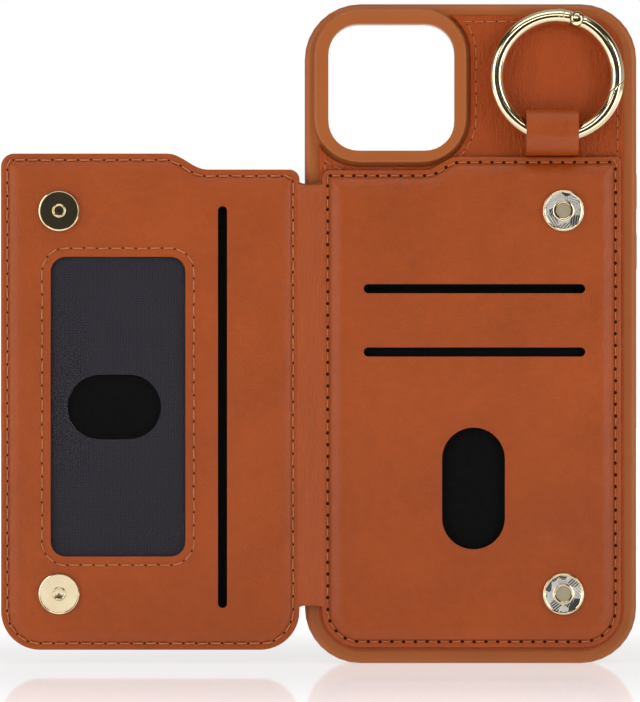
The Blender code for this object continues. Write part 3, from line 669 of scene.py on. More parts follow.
@dataclass
class Finishes:
    """Every finish of the case, built once."""

    leather: Material = field(init=False)
    back_leather: Material = field(init=False)
    spine_leather: Material = field(init=False)
    tpu: Material = field(init=False)
    gold: Material = field(init=False)
    satin_gold: Material = field(init=False)
    hatched_gold: Material = field(init=False)
    steel: Material = field(init=False)
    lining: Material = field(init=False)
    board: Material = field(init=False)
    film: Material = field(init=False)
    thread: Material = field(init=False)
    stitch_hole_shade: Material = field(init=False)

    def __post_init__(self) -> None:
        """Build the materials."""
        self.leather = LeatherFinish("tan_leather", (0.385, 0.066, 0.004), 0.36, pebble=1500.0,
                                     crease=0.5, depth=0.00011).build()
        self.back_leather = LeatherFinish("tan_back_leather", (0.40, 0.060, 0.002), 0.34,
                                          pebble=1300.0, crease=1.6, depth=0.00026,
                                          stretch=(1.0, 1.0, 0.4), shine=0.26).build()
        self.spine_leather = LeatherFinish("tan_spine_leather", (0.42, 0.075, 0.008), 0.36,
                                           pebble=1300.0, crease=2.0, depth=0.0002,
                                           stretch=(1.0, 1.0, 0.16)).build()
        self.tpu = SmoothFinish("tan_tpu", (0.44, 0.113, 0.016), low=0.38, high=0.48,
                                depth=0.000012).build()
        self.gold = SmoothFinish("pale_gold", (0.90, 0.76, 0.50), metallic=1.0, low=0.07,
                                 high=0.16).build()
        self.satin_gold = SmoothFinish("satin_gold", (0.52, 0.46, 0.31), metallic=0.6, low=0.36,
                                       high=0.48).build()
        self.hatched_gold = HatchFinish("hatched_gold", (0.78, 0.75, 0.69), 0.34, 0.62).build()
        self.steel = SmoothFinish("nickel_steel", (0.42, 0.42, 0.43), metallic=1.0, low=0.22,
                                  high=0.38).build()
        self.lining = ClothFinish("black_lining", (0.004, 0.004, 0.0045), 0.95).build()
        self.board = ClothFinish("grey_board", (0.30, 0.27, 0.22), 0.9, thread=600.0).build()
        self.film = FilmFinish("clear_film", (0.78, 0.72, 0.86), 0.01).build()
        self.thread = ClothFinish("peach_thread", (0.66, 0.25, 0.10), 0.62, thread=4200.0).build()
        # painted shade: the near-black colour stands for the shadow inside each needle hole
        self.stitch_hole_shade = ClothFinish("stitch_hole_shade", (0.035, 0.006, 0.003), 0.9).build()


# ---------------------------------------------------------------- stitches

@dataclass
class StitchLine:
    """A row of stitches along a closed or open line on a leather face."""

    name: str
    path: list[Vector]
    level: float
    pitch: float
    share: float
    thread: float
    hole: float
    closed: bool = True

    def places(self, shift: float) -> list[tuple[Vector, Vector]]:
        """Place and direction at each stitch's middle, or at a share of the pitch past it."""
        points = list(self.path) + ([self.path[0]] if self.closed else [])
        lengths = [(after - before).length for before, after in zip(points, points[1:])]
        total = sum(lengths)
        count = round(total / self.pitch)
        found = []
        index, walked = 0, 0.0
        for stitch in range(count):
            target = total * (stitch + 0.5 + shift) / count
            while index < len(lengths) - 1 and walked + lengths[index] < target:
                walked += lengths[index]
                index += 1
            along = (points[index + 1] - points[index]).normalized()
            found.append((points[index] + along * min(target - walked, lengths[index]), along))
        return found

    def template(self) -> bpy.types.Mesh:
        """One stitch along X: a thin twisted strand whose ends dive into its holes."""
        half = self.pitch * self.share / 2
        rings = []
        steps = 6
        for step in range(steps + 1):
            share = 2 * step / steps - 1
            rise = self.thread * (1.1 - 2.6 * abs(share) ** 3.0)
            thick = self.thread * (1.0 - 0.35 * share ** 4)
            twist = 0.9 * step
            ring = []
            for side in range(6):
                angle = twist + math.pi * side / 3
                level = -rise + 0.8 * thick * math.sin(angle)
                ring.append(Vector((half * share, level, thick * math.cos(angle))))
            rings.append(ring)
        piece = loft(self.name + "_one", rings)
        smooth(piece, 80.0)
        mesh = piece.data
        bpy.data.objects.remove(piece, do_unlink=True)
        return mesh

    def hole_template(self) -> bpy.types.Mesh:
        """One needle hole: a dark dished lozenge, longer along the line; its dark colour is painted
        shade inside the hole.
        """
        outer = [Vector((self.hole * 1.05 * math.cos(angle), 0.0, self.hole * math.sin(angle)))
                 for angle in (2 * math.pi * side / 10 for side in range(10))]
        rings = [[point + Vector((0, 0.05 * MM, 0)) for point in outer],
                 [point + Vector((0, -0.015 * MM, 0)) for point in outer],
                 [point * 0.8 + Vector((0, -0.03 * MM, 0)) for point in outer],
                 [point * 0.45 for point in outer]]
        piece = loft(self.name + "_hole_one", rings)
        mesh = piece.data
        bpy.data.objects.remove(piece, do_unlink=True)
        return mesh

    def copies(self, name: str, template: bpy.types.Mesh, shift: float) -> Piece:
        """Copy a template along the line, at the places that a shift gives."""
        shape = bmesh.new()
        for index, (middle, along) in enumerate(self.places(shift)):
            wobble = 0.06 * MM * math.sin(index * 2.3)
            across = Vector((-along.y, along.x))
            place = middle + across * wobble
            turn = math.atan2(along.y, along.x) + 0.04 * math.sin(index * 1.7)
            matrix = (Matrix.Translation((place.x, self.level, place.y))
                      @ Matrix.Rotation(-turn, 4, "Y"))
            start = len(shape.verts)
            shape.from_mesh(template)
            shape.verts.ensure_lookup_table()
            bmesh.ops.transform(shape, matrix=matrix, verts=shape.verts[start:])
        mesh = bpy.data.meshes.new(name)
        shape.to_mesh(mesh)
        shape.free()
        piece = bpy.data.objects.new(name, mesh)
        bpy.context.scene.collection.objects.link(piece)
        return piece

    def build(self, finishes: Finishes, body: Body, *nodes: str) -> None:
        """Make the stitches and their needle holes.

        Args:
            finishes: the case's finishes.
            body: the body that the leather rides on.
            nodes: the CAD nodes that the stitches stand for.
        """
        stitches = self.copies(self.name, self.template(), 0.0)
        dress(stitches, finishes.thread, body, Slot.THREAD, *nodes)
        # the needle holes carry the painted shade finish
        holes = self.copies(self.name + "_holes", self.hole_template(), 0.5)
        dress(holes, finishes.stitch_hole_shade, body, Slot.LEATHER)


# ---------------------------------------------------------------- leather panels

@dataclass
class RaisedPanel:
    """Leather with a rolled edge, a stitched border and a raised middle, with holes through it."""

    name: str
    outline: Callable[[float], list[Vector]]
    border_back: float
    border_face: float
    face: float
    thickness: float
    stitch_inset: float
    shoulder: float
    holes: list[list[Vector]] = field(default_factory=list)

    def profile(self) -> list[tuple[float, float]]:
        """(inset, level) from the middle of the back, round the edge, to the middle of the face."""
        border = self.border_face
        rise = self.face - border
        foot = self.stitch_inset + 0.35 * MM
        points = [(foot + self.shoulder + self.thickness, self.face + self.thickness),
                  (foot + 2 * self.thickness, self.border_back - 0.02 * MM),
                  (0.05 * MM, self.border_back),
                  (0.0, self.border_back - 0.2 * MM),
                  (0.03 * MM, border + 0.22 * MM),
                  (0.14 * MM, border + 0.08 * MM),
                  (0.36 * MM, border + 0.005 * MM),
                  (0.75 * MM, border - 0.03 * MM),
                  (self.stitch_inset - 0.35 * MM, border),
                  (self.stitch_inset, border + 0.07 * MM),
                  (foot, border - 0.02 * MM)]
        for share, lift in ((0.06, 0.2), (0.12, 0.36), (0.22, 0.5), (0.35, 0.64), (0.5, 0.78),
                            (0.66, 0.89), (0.82, 0.97), (1.0, 1.0)):
            points.append((foot + self.shoulder * share, border - 0.02 * MM + rise * lift))
        return points

    def build(self) -> Piece:
        """Model the panel.

        Returns:
            The mesh object, without its material.
        """
        rings = [at_level(self.outline(inset), level) for inset, level in self.profile()]
        panel = loft(self.name, rings)
        front, back = self.face - MM, self.face + self.thickness + 0.6 * MM
        cutters = [prism(f"{self.name}_cut_{index}", hole, front, back)
                   for index, hole in enumerate(self.holes)]
        if cutters:
            cut(panel, cutters)
        soften(panel, 0.14 * MM, 60.0)
        smooth(panel, 45.0, weighted=True)
        return panel


@dataclass
class CardPocket:
    """The raised card pocket with its two slots, thumb hole and stitch line."""

    finishes: Finishes
    corner: float = 9.5 * MM
    top_corner: float = 1.2 * MM
    step_drop: float = 3.35 * MM
    step_start: float = 25.5 * MM
    step_length: float = 8.5 * MM
    slot_left: float = 10.4 * MM
    slot_right: float = 9.1 * MM
    slot_rises: tuple[float, float] = (72.7 * MM, 88.5 * MM)
    slot_width: float = 2.3 * MM
    thumb: Box = (37.8 * MM, 39.8 * MM, 15.7 * MM, 30.4 * MM)
    leather: float = 0.8 * MM
    stitch_inset: float = 1.45 * MM
    shoulder: float = 3.5 * MM

    def outline(self, inset: float = 0.0) -> list[Vector]:
        """The pocket's edge, moved inwards."""
        low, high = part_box("pocket_front")
        left, right = low[0] + inset, high[0] - inset
        bottom, top = low[2] + inset, high[2] - inset
        step_top = top - self.step_drop
        corner = max(self.corner - inset, 0.8 * MM)
        small = max(self.top_corner - 0.6 * inset, 0.3 * MM)
        foot = left - inset + self.step_start + inset * 0.4
        step = s_curve((foot + self.step_length, top), (foot, step_top))
        return rounded([(left, bottom, corner), (right, bottom, corner), (right, top, small), *step,
                        (left, step_top, small * 1.6)])

    def holes(self) -> list[list[Vector]]:
        """Outlines of the slots, the thumb hole and the two snap seats."""
        low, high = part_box("pocket_front")
        left, right = low[0] + self.slot_left, high[0] - self.slot_right
        made = [stadium((left + right) / 2, low[2] + rise + self.slot_width / 2, right - left,
                        self.slot_width) for rise in self.slot_rises]
        x, z, width, height = self.thumb
        made.append(stadium(low[0] + x, low[2] + z, width, height))
        for level in ("upper", "lower"):
            made.append(snap_seat(f"pocket_snap_{level}_washer"))
        return made

    def build(self) -> None:
        """Model and dress the pocket."""
        low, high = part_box("pocket_front")
        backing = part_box("pocket_thread")
        border_face = backing[1][1] + 0.25 * MM
        panel = RaisedPanel("pocket_panel", self.outline, high[1], border_face, low[1],
                            self.leather, self.stitch_inset, self.shoulder, self.holes()).build()
        dress(panel, self.finishes.leather, Body.CASE, Slot.LEATHER, "pocket_front")
        StitchLine("pocket_stitches", self.outline(self.stitch_inset), border_face - 0.02 * MM,
                   pitch=2.95 * MM, share=0.78, thread=0.15 * MM,
                   hole=0.42 * MM).build(self.finishes, Body.CASE, "pocket_thread")


def snap_seat(washer: str) -> list[Vector]:
    """Outline of the hole that a snap's hub passes through, from the snap's washer."""
    low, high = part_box(washer)
    size = 8.0 * MM
    return stadium((low[0] + high[0]) / 2, (low[2] + high[2]) / 2, size, size * 1.0001)


@dataclass
class CardFlap:
    """The flap: inner leather with its window and slot, back skin and stitch lines."""

    finishes: Finishes
    corner: float = 9.8 * MM
    top_corner: float = 3.3 * MM
    spine_corner: float = 2.6 * MM
    step_drop: float = 4.0 * MM
    step_start: float = 41.6 * MM
    step_length: float = 10.0 * MM
    window_corner: float = 3.8 * MM
    window_margin: float = 3.5 * MM
    slot: Box = (55.45 * MM, 60.75 * MM, 2.3 * MM, 100.4 * MM)
    leather: float = 0.6 * MM
    stitch_inset: float = 1.65 * MM
    shoulder: float = 3.0 * MM

    def outline(self, inset: float = 0.0) -> list[Vector]:
        """The flap's edge, moved inwards."""
        low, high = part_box("flap_inner_leather")
        left, right = low[0] + inset, high[0] - inset
        bottom, top = low[2] + inset, high[2] - inset
        step_top = top - self.step_drop
        corner = max(self.corner - inset, 0.8 * MM)
        foot = left - inset + self.step_start - inset * 0.4
        step = s_curve((foot + self.step_length, step_top), (foot, top))
        return rounded([(left, bottom, corner), (right, bottom, corner),
                        (right, step_top, max(self.spine_corner - 0.4 * inset, 0.8 * MM)), *step,
                        (left, top, max(self.top_corner - inset, 0.8 * MM))])

    def window(self, grow: float = 0.0) -> list[Vector]:
        """The window's outline, from the film behind it."""
        low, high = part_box("id_window")
        margin = self.window_margin - grow
        return rectangle(low[0] + margin, high[0] - margin, low[2] + margin, high[2] - margin,
                         self.window_corner + grow)

    def build(self) -> None:
        """Model and dress the flap."""
        low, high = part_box("flap_inner_leather")
        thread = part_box("flap_thread")
        border_face = thread[1][1] + 0.25 * MM
        x, z, width, height = self.slot
        slot = stadium(low[0] + x, low[2] + z, width, height)
        seats = [snap_seat(f"flap_snap_{level}_washer") for level in ("upper", "lower")]
        panel = RaisedPanel("flap_panel", self.outline, high[1], border_face, low[1], self.leather,
                            self.stitch_inset, self.shoulder,
                            [self.window(), slot, *seats]).build()
        dress(panel, self.finishes.leather, Body.FLAP, Slot.LEATHER, "flap_inner_leather")
        self.build_back(high[1])
        for name, path, level, node in (
                ("flap_stitches", self.outline(self.stitch_inset), border_face, "flap_thread"),
                ("window_stitches", self.window(2.1 * MM), low[1], "window_thread")):
            StitchLine(name, path, level - 0.02 * MM, pitch=3.25 * MM, share=0.86,
                       thread=0.22 * MM, hole=0.24 * MM).build(self.finishes, Body.FLAP, node)

    def build_back(self, border_back: float) -> None:
        """Model the outer skin, which wraps the board and meets the inner leather at its edge."""
        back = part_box("flap_outer_leather")[1][1]
        inner = border_back + 0.03 * MM
        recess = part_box("flap_lining")[1][1] + 0.05 * MM
        profile = [(4.4 * MM, recess), (4.0 * MM, inner), (0.25 * MM, inner),
                   (0.06 * MM, inner + 0.06 * MM), (0.0, inner + 0.3 * MM)]
        radius = 0.9 * MM
        for step in range(1, 7):
            angle = math.pi / 2 * step / 6
            profile.append((radius * (1 - math.cos(angle)), back - radius * (1 - math.sin(angle))))
        rings = [at_level(self.outline(inset), level) for inset, level in profile]
        skin = loft("flap_skin", rings)
        smooth(skin, 45.0, weighted=True)
        dress(skin, self.finishes.leather, Body.FLAP, Slot.LEATHER, "flap_outer_leather",
              "flap_board")


@dataclass
class BackLeather:
    """The leather skin on the shell's back, with its stitch line round the top."""

    finishes: Finishes
    corner: float = 10.5 * MM
    camera_corner: float = 12.2 * MM
    surround: Box = (-2.3 * MM, 37.5 * MM, 124.7 * MM, 164.8 * MM)
    stitch_inset: float = 1.6 * MM

    def outline(self, inset: float = 0.0) -> list[Vector]:
        """The leather's edge, moved inwards, with the camera corner cut away."""
        low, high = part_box("back_leather")
        left, right, bottom, top = low[0] + inset, high[0] - inset, low[2] + inset, high[2] - inset
        notch_right, notch_low = self.surround[1] + inset, self.surround[2] - inset
        corner = max(self.corner - inset, 0.8 * MM)
        inner = self.camera_corner + inset
        centre = Vector((notch_right - inner, notch_low + inner))
        wide_centre = Vector((self.surround[0] + self.camera_corner, centre.y))
        points = rounded([(left, bottom, corner), (right, bottom, corner), (right, top, corner),
                          (left, top, 0.0)])[:-1]
        top_centre = Vector((centre.x, self.surround[3] - self.camera_corner))
        start = math.asin(min((top - top_centre.y) / inner, 1.0))
        points += arc(top_centre, inner, start, 0.0)
        points += arc(centre, inner, 0.0, -math.pi / 2)
        end = math.acos(max((left - wide_centre.x) / inner, -1.0))
        points += arc(wide_centre, inner, -math.pi / 2, -end)
        return points

    def build(self) -> None:
        """Model and dress the skin."""
        low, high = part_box("back_leather")
        face, back = low[1], high[1]
        profile = [(1.0 * MM, back + 0.2 * MM), (0.1 * MM, back + 0.2 * MM), (0.0, back),
                   (0.02 * MM, face + 0.3 * MM), (0.1 * MM, face + 0.12 * MM),
                   (0.28 * MM, face + 0.02 * MM), (0.6 * MM, face - 0.03 * MM),
                   (1.2 * MM, face - 0.02 * MM), (self.stitch_inset, face + 0.08 * MM),
                   (2.0 * MM, face - 0.02 * MM), (2.6 * MM, face - 0.05 * MM)]
        skin = loft("back_skin", [at_level(self.outline(inset), level) for inset, level in profile])
        smooth(skin, 50.0, weighted=True)
        dress(skin, self.finishes.back_leather, Body.CASE, Slot.LEATHER, "back_leather")
        seam = self.outline(self.stitch_inset)
        pocket_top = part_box("pocket_front")[1][2] - 4.5 * MM
        right_side = 60 * MM
        first = next(index for index, point in enumerate(seam)
                     if point.y > pocket_top and point.x > right_side)
        path = [Vector((seam[first].x, pocket_top)), *seam[first:],
                Vector((seam[-1].x, pocket_top))]
        StitchLine("back_stitches", path, face, pitch=2.95 * MM, share=0.86, thread=0.15 * MM,
                   hole=0.17 * MM, closed=False).build(self.finishes, Body.CASE)


# ---------------------------------------------------------------- spine

class Fold(Enum):
    """The two fold lines beside the spine."""

    CASE_SIDE = ("case", "spine")
    FLAP_SIDE = ("spine", "flap")


@dataclass
class Spine:
    """The leather between the pocket and the flap, in halves that each cross one fold line."""

    finishes: Finishes
    reach: float = 0.75 * MM
    bend: float = 0.75 * MM
    columns: int = 14
    rows: int = 30
    flare: float = 1.1 * MM
    thickness: float = 0.8 * MM

    def fold_x(self, joint: str) -> float:
        """Where a fold line stands."""
        joints = frame["record"]["behaviour"]["joints"]
        return next(item["pos_m"][0] for item in joints if item["name"] == joint)

    def sheet(self, name: str, fold: Fold, level: Callable[[float], float], toward: float,
              ends: tuple[float, float]) -> Piece:
        """Model one half of a spine sheet.

        Args:
            name: the piece's name.
            fold: the fold line that it crosses.
            level: the front face's level at a place along X.
            toward: thickness, away from the pocket side.
            ends: X of the fixed end at the spine's middle and of the far end.
        """
        middle, far = ends
        low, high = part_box("spine_inner_leather")
        rings = []
        edge = 0.25 * MM
        rows = [(0.0, 0.55), (0.12 * MM, 0.2), (edge, 0.0)]
        rows += [((high[2] - low[2]) * step / self.rows, 0.0) for step in range(1, self.rows)]
        length = high[2] - low[2]
        rows += [(length - edge, 0.0), (length - 0.12 * MM, 0.2), (length, 0.55)]
        for along, pinch in rows:
            share = 2 * along / length - 1
            ring = []
            for column in range(self.columns + 1):
                x = middle + (far - middle) * column / self.columns
                front = level(x) + pinch * toward / 2
                ring.append(self.point(x, far, front, low[2] + along, share))
            for column in range(self.columns, -1, -1):
                x = middle + (far - middle) * column / self.columns
                back = level(x) + toward * (1 - pinch / 2)
                ring.append(self.point(x, far, back, low[2] + along, share))
            rings.append(ring)
        piece = loft(name, rings)
        smooth(piece, 50.0)
        self.dress_half(piece, fold)
        return piece

    def point(self, x: float, far: float, level: float, z: float, share: float) -> Vector:
        """A place on the sheet, whose corners flare out where it joins a panel."""
        close = math.exp(-abs(x - far) / (0.45 * MM))
        spread = self.flare * close * math.copysign(abs(share) ** 30, share)
        return Vector((x, level, z + spread))

    def dress_half(self, piece: Piece, fold: Fold) -> None:
        """Give a half its leather and bake its place; the fold line's place is only logged."""
        piece.data.materials.append(self.finishes.spine_leather)
        joint = "spine_fold" if fold is Fold.CASE_SIDE else "flap_fold"
        x = self.fold_x(joint)
        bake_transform(piece)
        LOG.info("%s: bends at x %.4f", piece.name, x)

    def build(self) -> None:
        """Model the inner and the outer sheets."""
        low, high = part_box("spine_inner_leather")
        face = low[1]
        pocket_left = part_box("pocket_front")[0][0]
        flap_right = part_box("flap_inner_leather")[1][0]
        middle = (low[0] + high[0]) / 2

        def inner_level(x: float) -> float:
            """Just proud of the borders, dipping into them at its ends."""
            over = max(x - pocket_left, flap_right - x, 0.0) / self.reach
            return face - 0.05 * MM + 0.09 * MM * min(over, 1.0) ** 1.5

        inner = self.sheet("spine_inner_case", Fold.CASE_SIDE, inner_level, self.thickness,
                           (middle, pocket_left + self.reach))
        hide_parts("spine_inner_leather")
        self.sheet("spine_inner_flap", Fold.FLAP_SIDE, inner_level, self.thickness,
                   (middle, flap_right - self.reach))
        back_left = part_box("back_leather")
        flap_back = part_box("flap_outer_leather")
        case_end, flap_end = back_left[0][0] + 0.3 * MM, flap_back[1][0] - 0.6 * MM

        def outer_level(x: float) -> float:
            """From the back leather's level to the flap's outer skin."""
            share = min(max((x - flap_end) / (case_end - flap_end), 0.0), 1.0)
            ease = share * share * (3 - 2 * share)
            return (flap_back[0][1] + 0.25 * MM) * (1 - ease) + (back_left[0][1] - 0.02 * MM) * ease

        outer = self.sheet("spine_outer_case", Fold.CASE_SIDE, outer_level, 0.5 * MM,
                           (middle, case_end))
        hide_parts("spine_outer_leather")
        self.sheet("spine_outer_flap", Fold.FLAP_SIDE, outer_level, 0.5 * MM, (middle, flap_end))


# ---------------------------------------------------------------- snaps

@dataclass
class Snap:
    """One half of a magnetic snap, seen from its face."""

    finishes: Finishes
    name: str
    body: Body

    def centre(self) -> Vector:
        """The middle of the cap's foot, on the leather."""
        low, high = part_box(self.name + "_washer")
        cap_low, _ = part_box(self.name + "_cap")
        return Vector(((low[0] + high[0]) / 2, cap_low[1] + 1.1 * MM, (low[2] + high[2]) / 2))

    def rim(self) -> list[tuple[float, float]]:
        """Profile of the cap's outer wall, from the hub to the crown of its rim."""
        return in_mm((3.7, -0.9), (3.7, 0.02), (5.0, 0.02), (5.22, 0.12), (5.25, 0.45), (5.2, 0.8),
                     (5.05, 1.02), (4.88, 1.09))

    def build(self) -> None:
        """Model the kind of cap that the body calls for."""
        if self.body is Body.CASE:
            self.build_faceted()
        else:
            self.build_smooth()
        for part in ("magnet", "washer"):
            paint(f"{self.name}_{part}", self.finishes.steel)

    def build_smooth(self) -> None:
        """The flap's cap: a flat disc with a bright rim and a small raised ring."""
        profile = self.rim() + in_mm((4.75, 1.0), (4.7, 0.9), (4.6, 0.895), (3.4, 0.894),
                                     (2.2, 0.893), (1.78, 0.893), (1.75, -0.9))
        cap = turned(self.name + "_disc", profile, self.centre(), 64)
        smooth(cap, 30.0, weighted=True)
        dress(cap, self.finishes.gold, self.body, Slot.GOLD, self.name + "_cap")
        post = in_mm((1.7, -0.9), (1.72, 1.05), (1.6, 1.25), (1.42, 1.28), (1.25, 1.18),
                     (1.18, 0.98), (0.6, 0.95), (0.2, 0.94), (0.2, -0.9))
        ring = turned(self.name + "_post", post, self.centre(), 40)
        smooth(ring, 50.0)
        dress(ring, self.finishes.gold, self.body, Slot.GOLD, self.name + "_rivet")

    def build_faceted(self) -> None:
        """The pocket's cap: hatched facets between a rim and the ring round the hole."""
        profile = self.rim() + in_mm((4.72, 1.04), (4.6, 0.9), (2.7, 0.85), (2.5, 1.02),
                                     (2.2, 1.08), (1.95, 1.0), (1.9, 0.7), (1.9, -0.9))
        cap = turned(self.name + "_disc", profile, self.centre(), 64)
        smooth(cap, 50.0)
        dress(cap, self.finishes.gold, self.body, Slot.GOLD, self.name + "_cap")
        facets = self.facets()
        dress(facets, self.finishes.hatched_gold, self.body, Slot.GOLD)
        rivet = in_mm((1.88, -0.9), (1.88, 0.7), (1.75, 0.82), (1.6, 0.82), (0.9, 0.82),
                      (0.002, 0.82), (0.002, -0.9))
        ring = turned(self.name + "_core", rivet, self.centre(), 40)
        smooth(ring, 30.0, weighted=True)
        dress(ring, self.finishes.satin_gold, self.body, Slot.GOLD, self.name + "_rivet")

    def facets(self) -> Piece:
        """A ring of flat facets, each tilted its own way."""
        sectors = 11
        centre = self.centre()
        levels = (0.88, 1.0, 0.9, 1.01, 0.89, 0.98, 0.9, 1.0, 0.88, 0.98, 0.93)
        rings = []
        middle = 3.6
        for radius, lift, low in ((4.66, 0.6, True), (4.62, 1.0, False), (middle, 1.0, False),
                                  (2.62, 1.0, False), (2.6, 0.6, True)):
            ring = []
            for sector in range(sectors):
                skew = 0.35 if radius == middle else 0.0
                angle = 2 * math.pi * (sector + skew + 0.12 * math.sin(3.1 * sector)) / sectors
                stride = 3 if radius == middle else 1
                height = 0.4 if low else levels[(sector * stride) % sectors] * lift
                place = Vector((radius * math.cos(angle), -height, radius * math.sin(angle)))
                ring.append(centre + place * MM)
            rings.append(ring)
        rings.append(rings[0])
        piece = loft(self.name + "_facets", rings, joined=True)
        pick(piece)
        bpy.ops.object.mode_set(mode="EDIT")
        bpy.ops.mesh.select_all(action="SELECT")
        bpy.ops.mesh.quads_convert_to_tris(quad_method="LONGEST_DIAGONAL")
        bpy.ops.object.mode_set(mode="OBJECT")
        bpy.ops.object.shade_flat()
        return piece


def paint(node: str, material: Material) -> None:
    """Give a CAD node that stays as it is a better material."""
    data = frame["nodes"][node].data
    data.materials.clear()
    data.materials.append(material)


# ---------------------------------------------------------------- key ring

@dataclass
class KeyRing:
    """The spring ring, its gate with knuckle, pin and collar, and the leather tab that holds it."""

    finishes: Finishes
    radius: float = 15.075 * MM
    wire: float = 1.8 * MM
    pivot_rise: float = 0.81 * MM
    pin_angle: float = 19.0
    body_end: float = 14.0
    gate_start: float = 24.2
    latch: float = 100.3
    latch_slant: float = 48.0
    latch_gap: float = 0.12 * MM
    sides: int = 28
    collar_angle: float = 4.4
    tab_cavity: float = 3.1 * MM
    tab_stretch: float = 2.1 * MM
    tab_leather: float = 0.8 * MM
    mouth_flare: float = 0.55 * MM
    mouth_depth: float = 0.95 * MM

    def swing(self) -> tuple[Vector, Matrix]:
        """The swing axis's place and the ring's turn about it, read from the frame's joints."""
        joints = {item["name"]: item for item in frame["record"]["behaviour"]["joints"]}
        place = Vector(joints["ring_swing"]["pos_m"])
        axis = Vector(joints["gate_open"]["axis"])
        return place, Matrix.Rotation(math.atan2(axis.z, axis.y), 3, "X")

    def on_ring(self, degrees: float, offset: Vector = Vector((0, 0, 0))) -> Vector:
        """A place on the ring, by its angle clockwise from the top and an offset.

        Args:
            degrees: angle clockwise from the ring's top.
            offset: metres (outward, towards +Y, clockwise along the wire).
        """
        place, turn = self.swing()
        angle = math.radians(degrees)
        out = Vector((math.sin(angle), 0, math.cos(angle)))
        along = Vector((math.cos(angle), 0, -math.sin(angle)))
        centre = Vector((0, 0, self.radius - self.pivot_rise))
        across = Vector((0, offset.y, 0))
        local = centre + out * (self.radius + offset.x) + across + along * offset.z
        return place + turn @ local

    def tube(self, name: str, stations: Profile) -> Piece:
        """Loft the wire through stations of (angle, wire radius)."""
        rings = []
        for degrees, radius in stations:
            ring = []
            for side in range(self.sides):
                angle = 2 * math.pi * side / self.sides
                offset = Vector((radius * math.cos(angle), radius * math.sin(angle), 0))
                ring.append(self.on_ring(degrees, offset))
            rings.append(ring)
        return loft(name, rings)

    def stations(self, start: float, end: float, step: float = 3.0) -> list[tuple[float, float]]:
        """Even stations between two angles, with a small round at each end."""
        count = max(2, round((end - start) / step))
        tip = 0.6
        made = [(start, self.wire - 0.25 * MM), (start + 0.25 * tip, self.wire - 0.08 * MM)]
        made += [(start + tip + (end - start - 2 * tip) * index / count, self.wire)
                 for index in range(count + 1)]
        return made + [(end - 0.25 * tip, self.wire - 0.08 * MM), (end, self.wire - 0.25 * MM)]

    def disc(self, name: str, degrees: float, profile: Profile, shift: Vector,
             steps: int = 40) -> Piece:
        """Turn a profile about the pin's direction at a place on the ring."""
        _, turn = self.swing()
        return turned(name, profile, self.on_ring(degrees, shift), steps, turn)

    def past_latch(self, name: str, way: int) -> Piece:
        """A cutter for all that lies past the slanted latch face.

        Args:
            name: the cutter's name.
            way: 1 for the side away from the gate, -1 for the gate's side.
        """
        slant = math.radians(self.latch_slant)
        normal = Vector((math.sin(slant), 0, math.cos(slant)))
        edge = Vector((-math.cos(slant), 0, math.sin(slant)))
        near, far = -normal * (way * self.latch_gap), normal * (way * 8 * MM)
        reach = edge * (6 * MM)
        rings = []
        for across in (-3 * MM, 3 * MM):
            depth = Vector((0, across, 0))
            corners = (near - reach, near + reach, far + reach, far - reach)
            rings.append([self.on_ring(self.latch, corner + depth) for corner in corners])
        return loft(name, rings)

    def build_knuckle(self) -> None:
        """The fork's two ears, the pin with its dished head, and the gate's tongue and heel."""
        none = Vector((0, 0, 0))
        for name, side in (("knuckle_near", 1), ("knuckle_far", -1)):
            heights = (0.75 * MM * side, 1.62 * MM * side, 1.78 * MM * side)
            profile = [(0.62 * MM, heights[0]), (1.86 * MM, heights[0]),
                       (1.9 * MM, heights[1] * 0.85), (1.7 * MM, heights[2]),
                       (1.25 * MM, heights[2]), (0.62 * MM, heights[1])]
            ear = self.disc(name, self.pin_angle, profile, none)
            smooth(ear, 50.0)
            dress(ear, self.finishes.gold, Body.RING, Slot.GOLD)
        pin = in_mm((0.0005, -2.0), (0.5, -2.0), (0.56, -1.9), (0.56, 1.8), (1.2, 1.8), (1.36, 1.9),
                    (1.32, 2.1), (1.12, 2.18), (0.98, 2.02), (0.86, 1.92), (0.5, 2.0),
                    (0.0005, 2.04))
        head = self.disc("pin_head", self.pin_angle, pin, none)
        smooth(head, 50.0)
        dress(head, self.finishes.gold, Body.RING, Slot.GOLD, "gate_pin")
        tongue = in_mm((0.6, -0.48), (1.4, -0.48), (1.48, 0.0), (1.4, 0.48), (0.6, 0.48))
        heel = self.disc("gate_heel", self.pin_angle, tongue, none)
        smooth(heel, 50.0)
        dress(heel, self.finishes.gold, Body.GATE, Slot.GOLD)

    def cheek(self, name: str, start: float, end: float, low: float, high: float,
              width: float) -> Piece:
        """A flat cheek that follows the wire between two angles, between two levels across it."""
        rings = []
        for step in range(7):
            degrees = start + (end - start) * step / 6
            outline = [(-width, low), (width, low), (width, high), (-width, high)]
            rings.append([self.on_ring(degrees, Vector((out, across, 0)))
                          for out, across in outline])
        piece = loft(name, rings)
        soften(piece, 0.15 * MM, 40.0)
        smooth(piece, 50.0)
        return piece

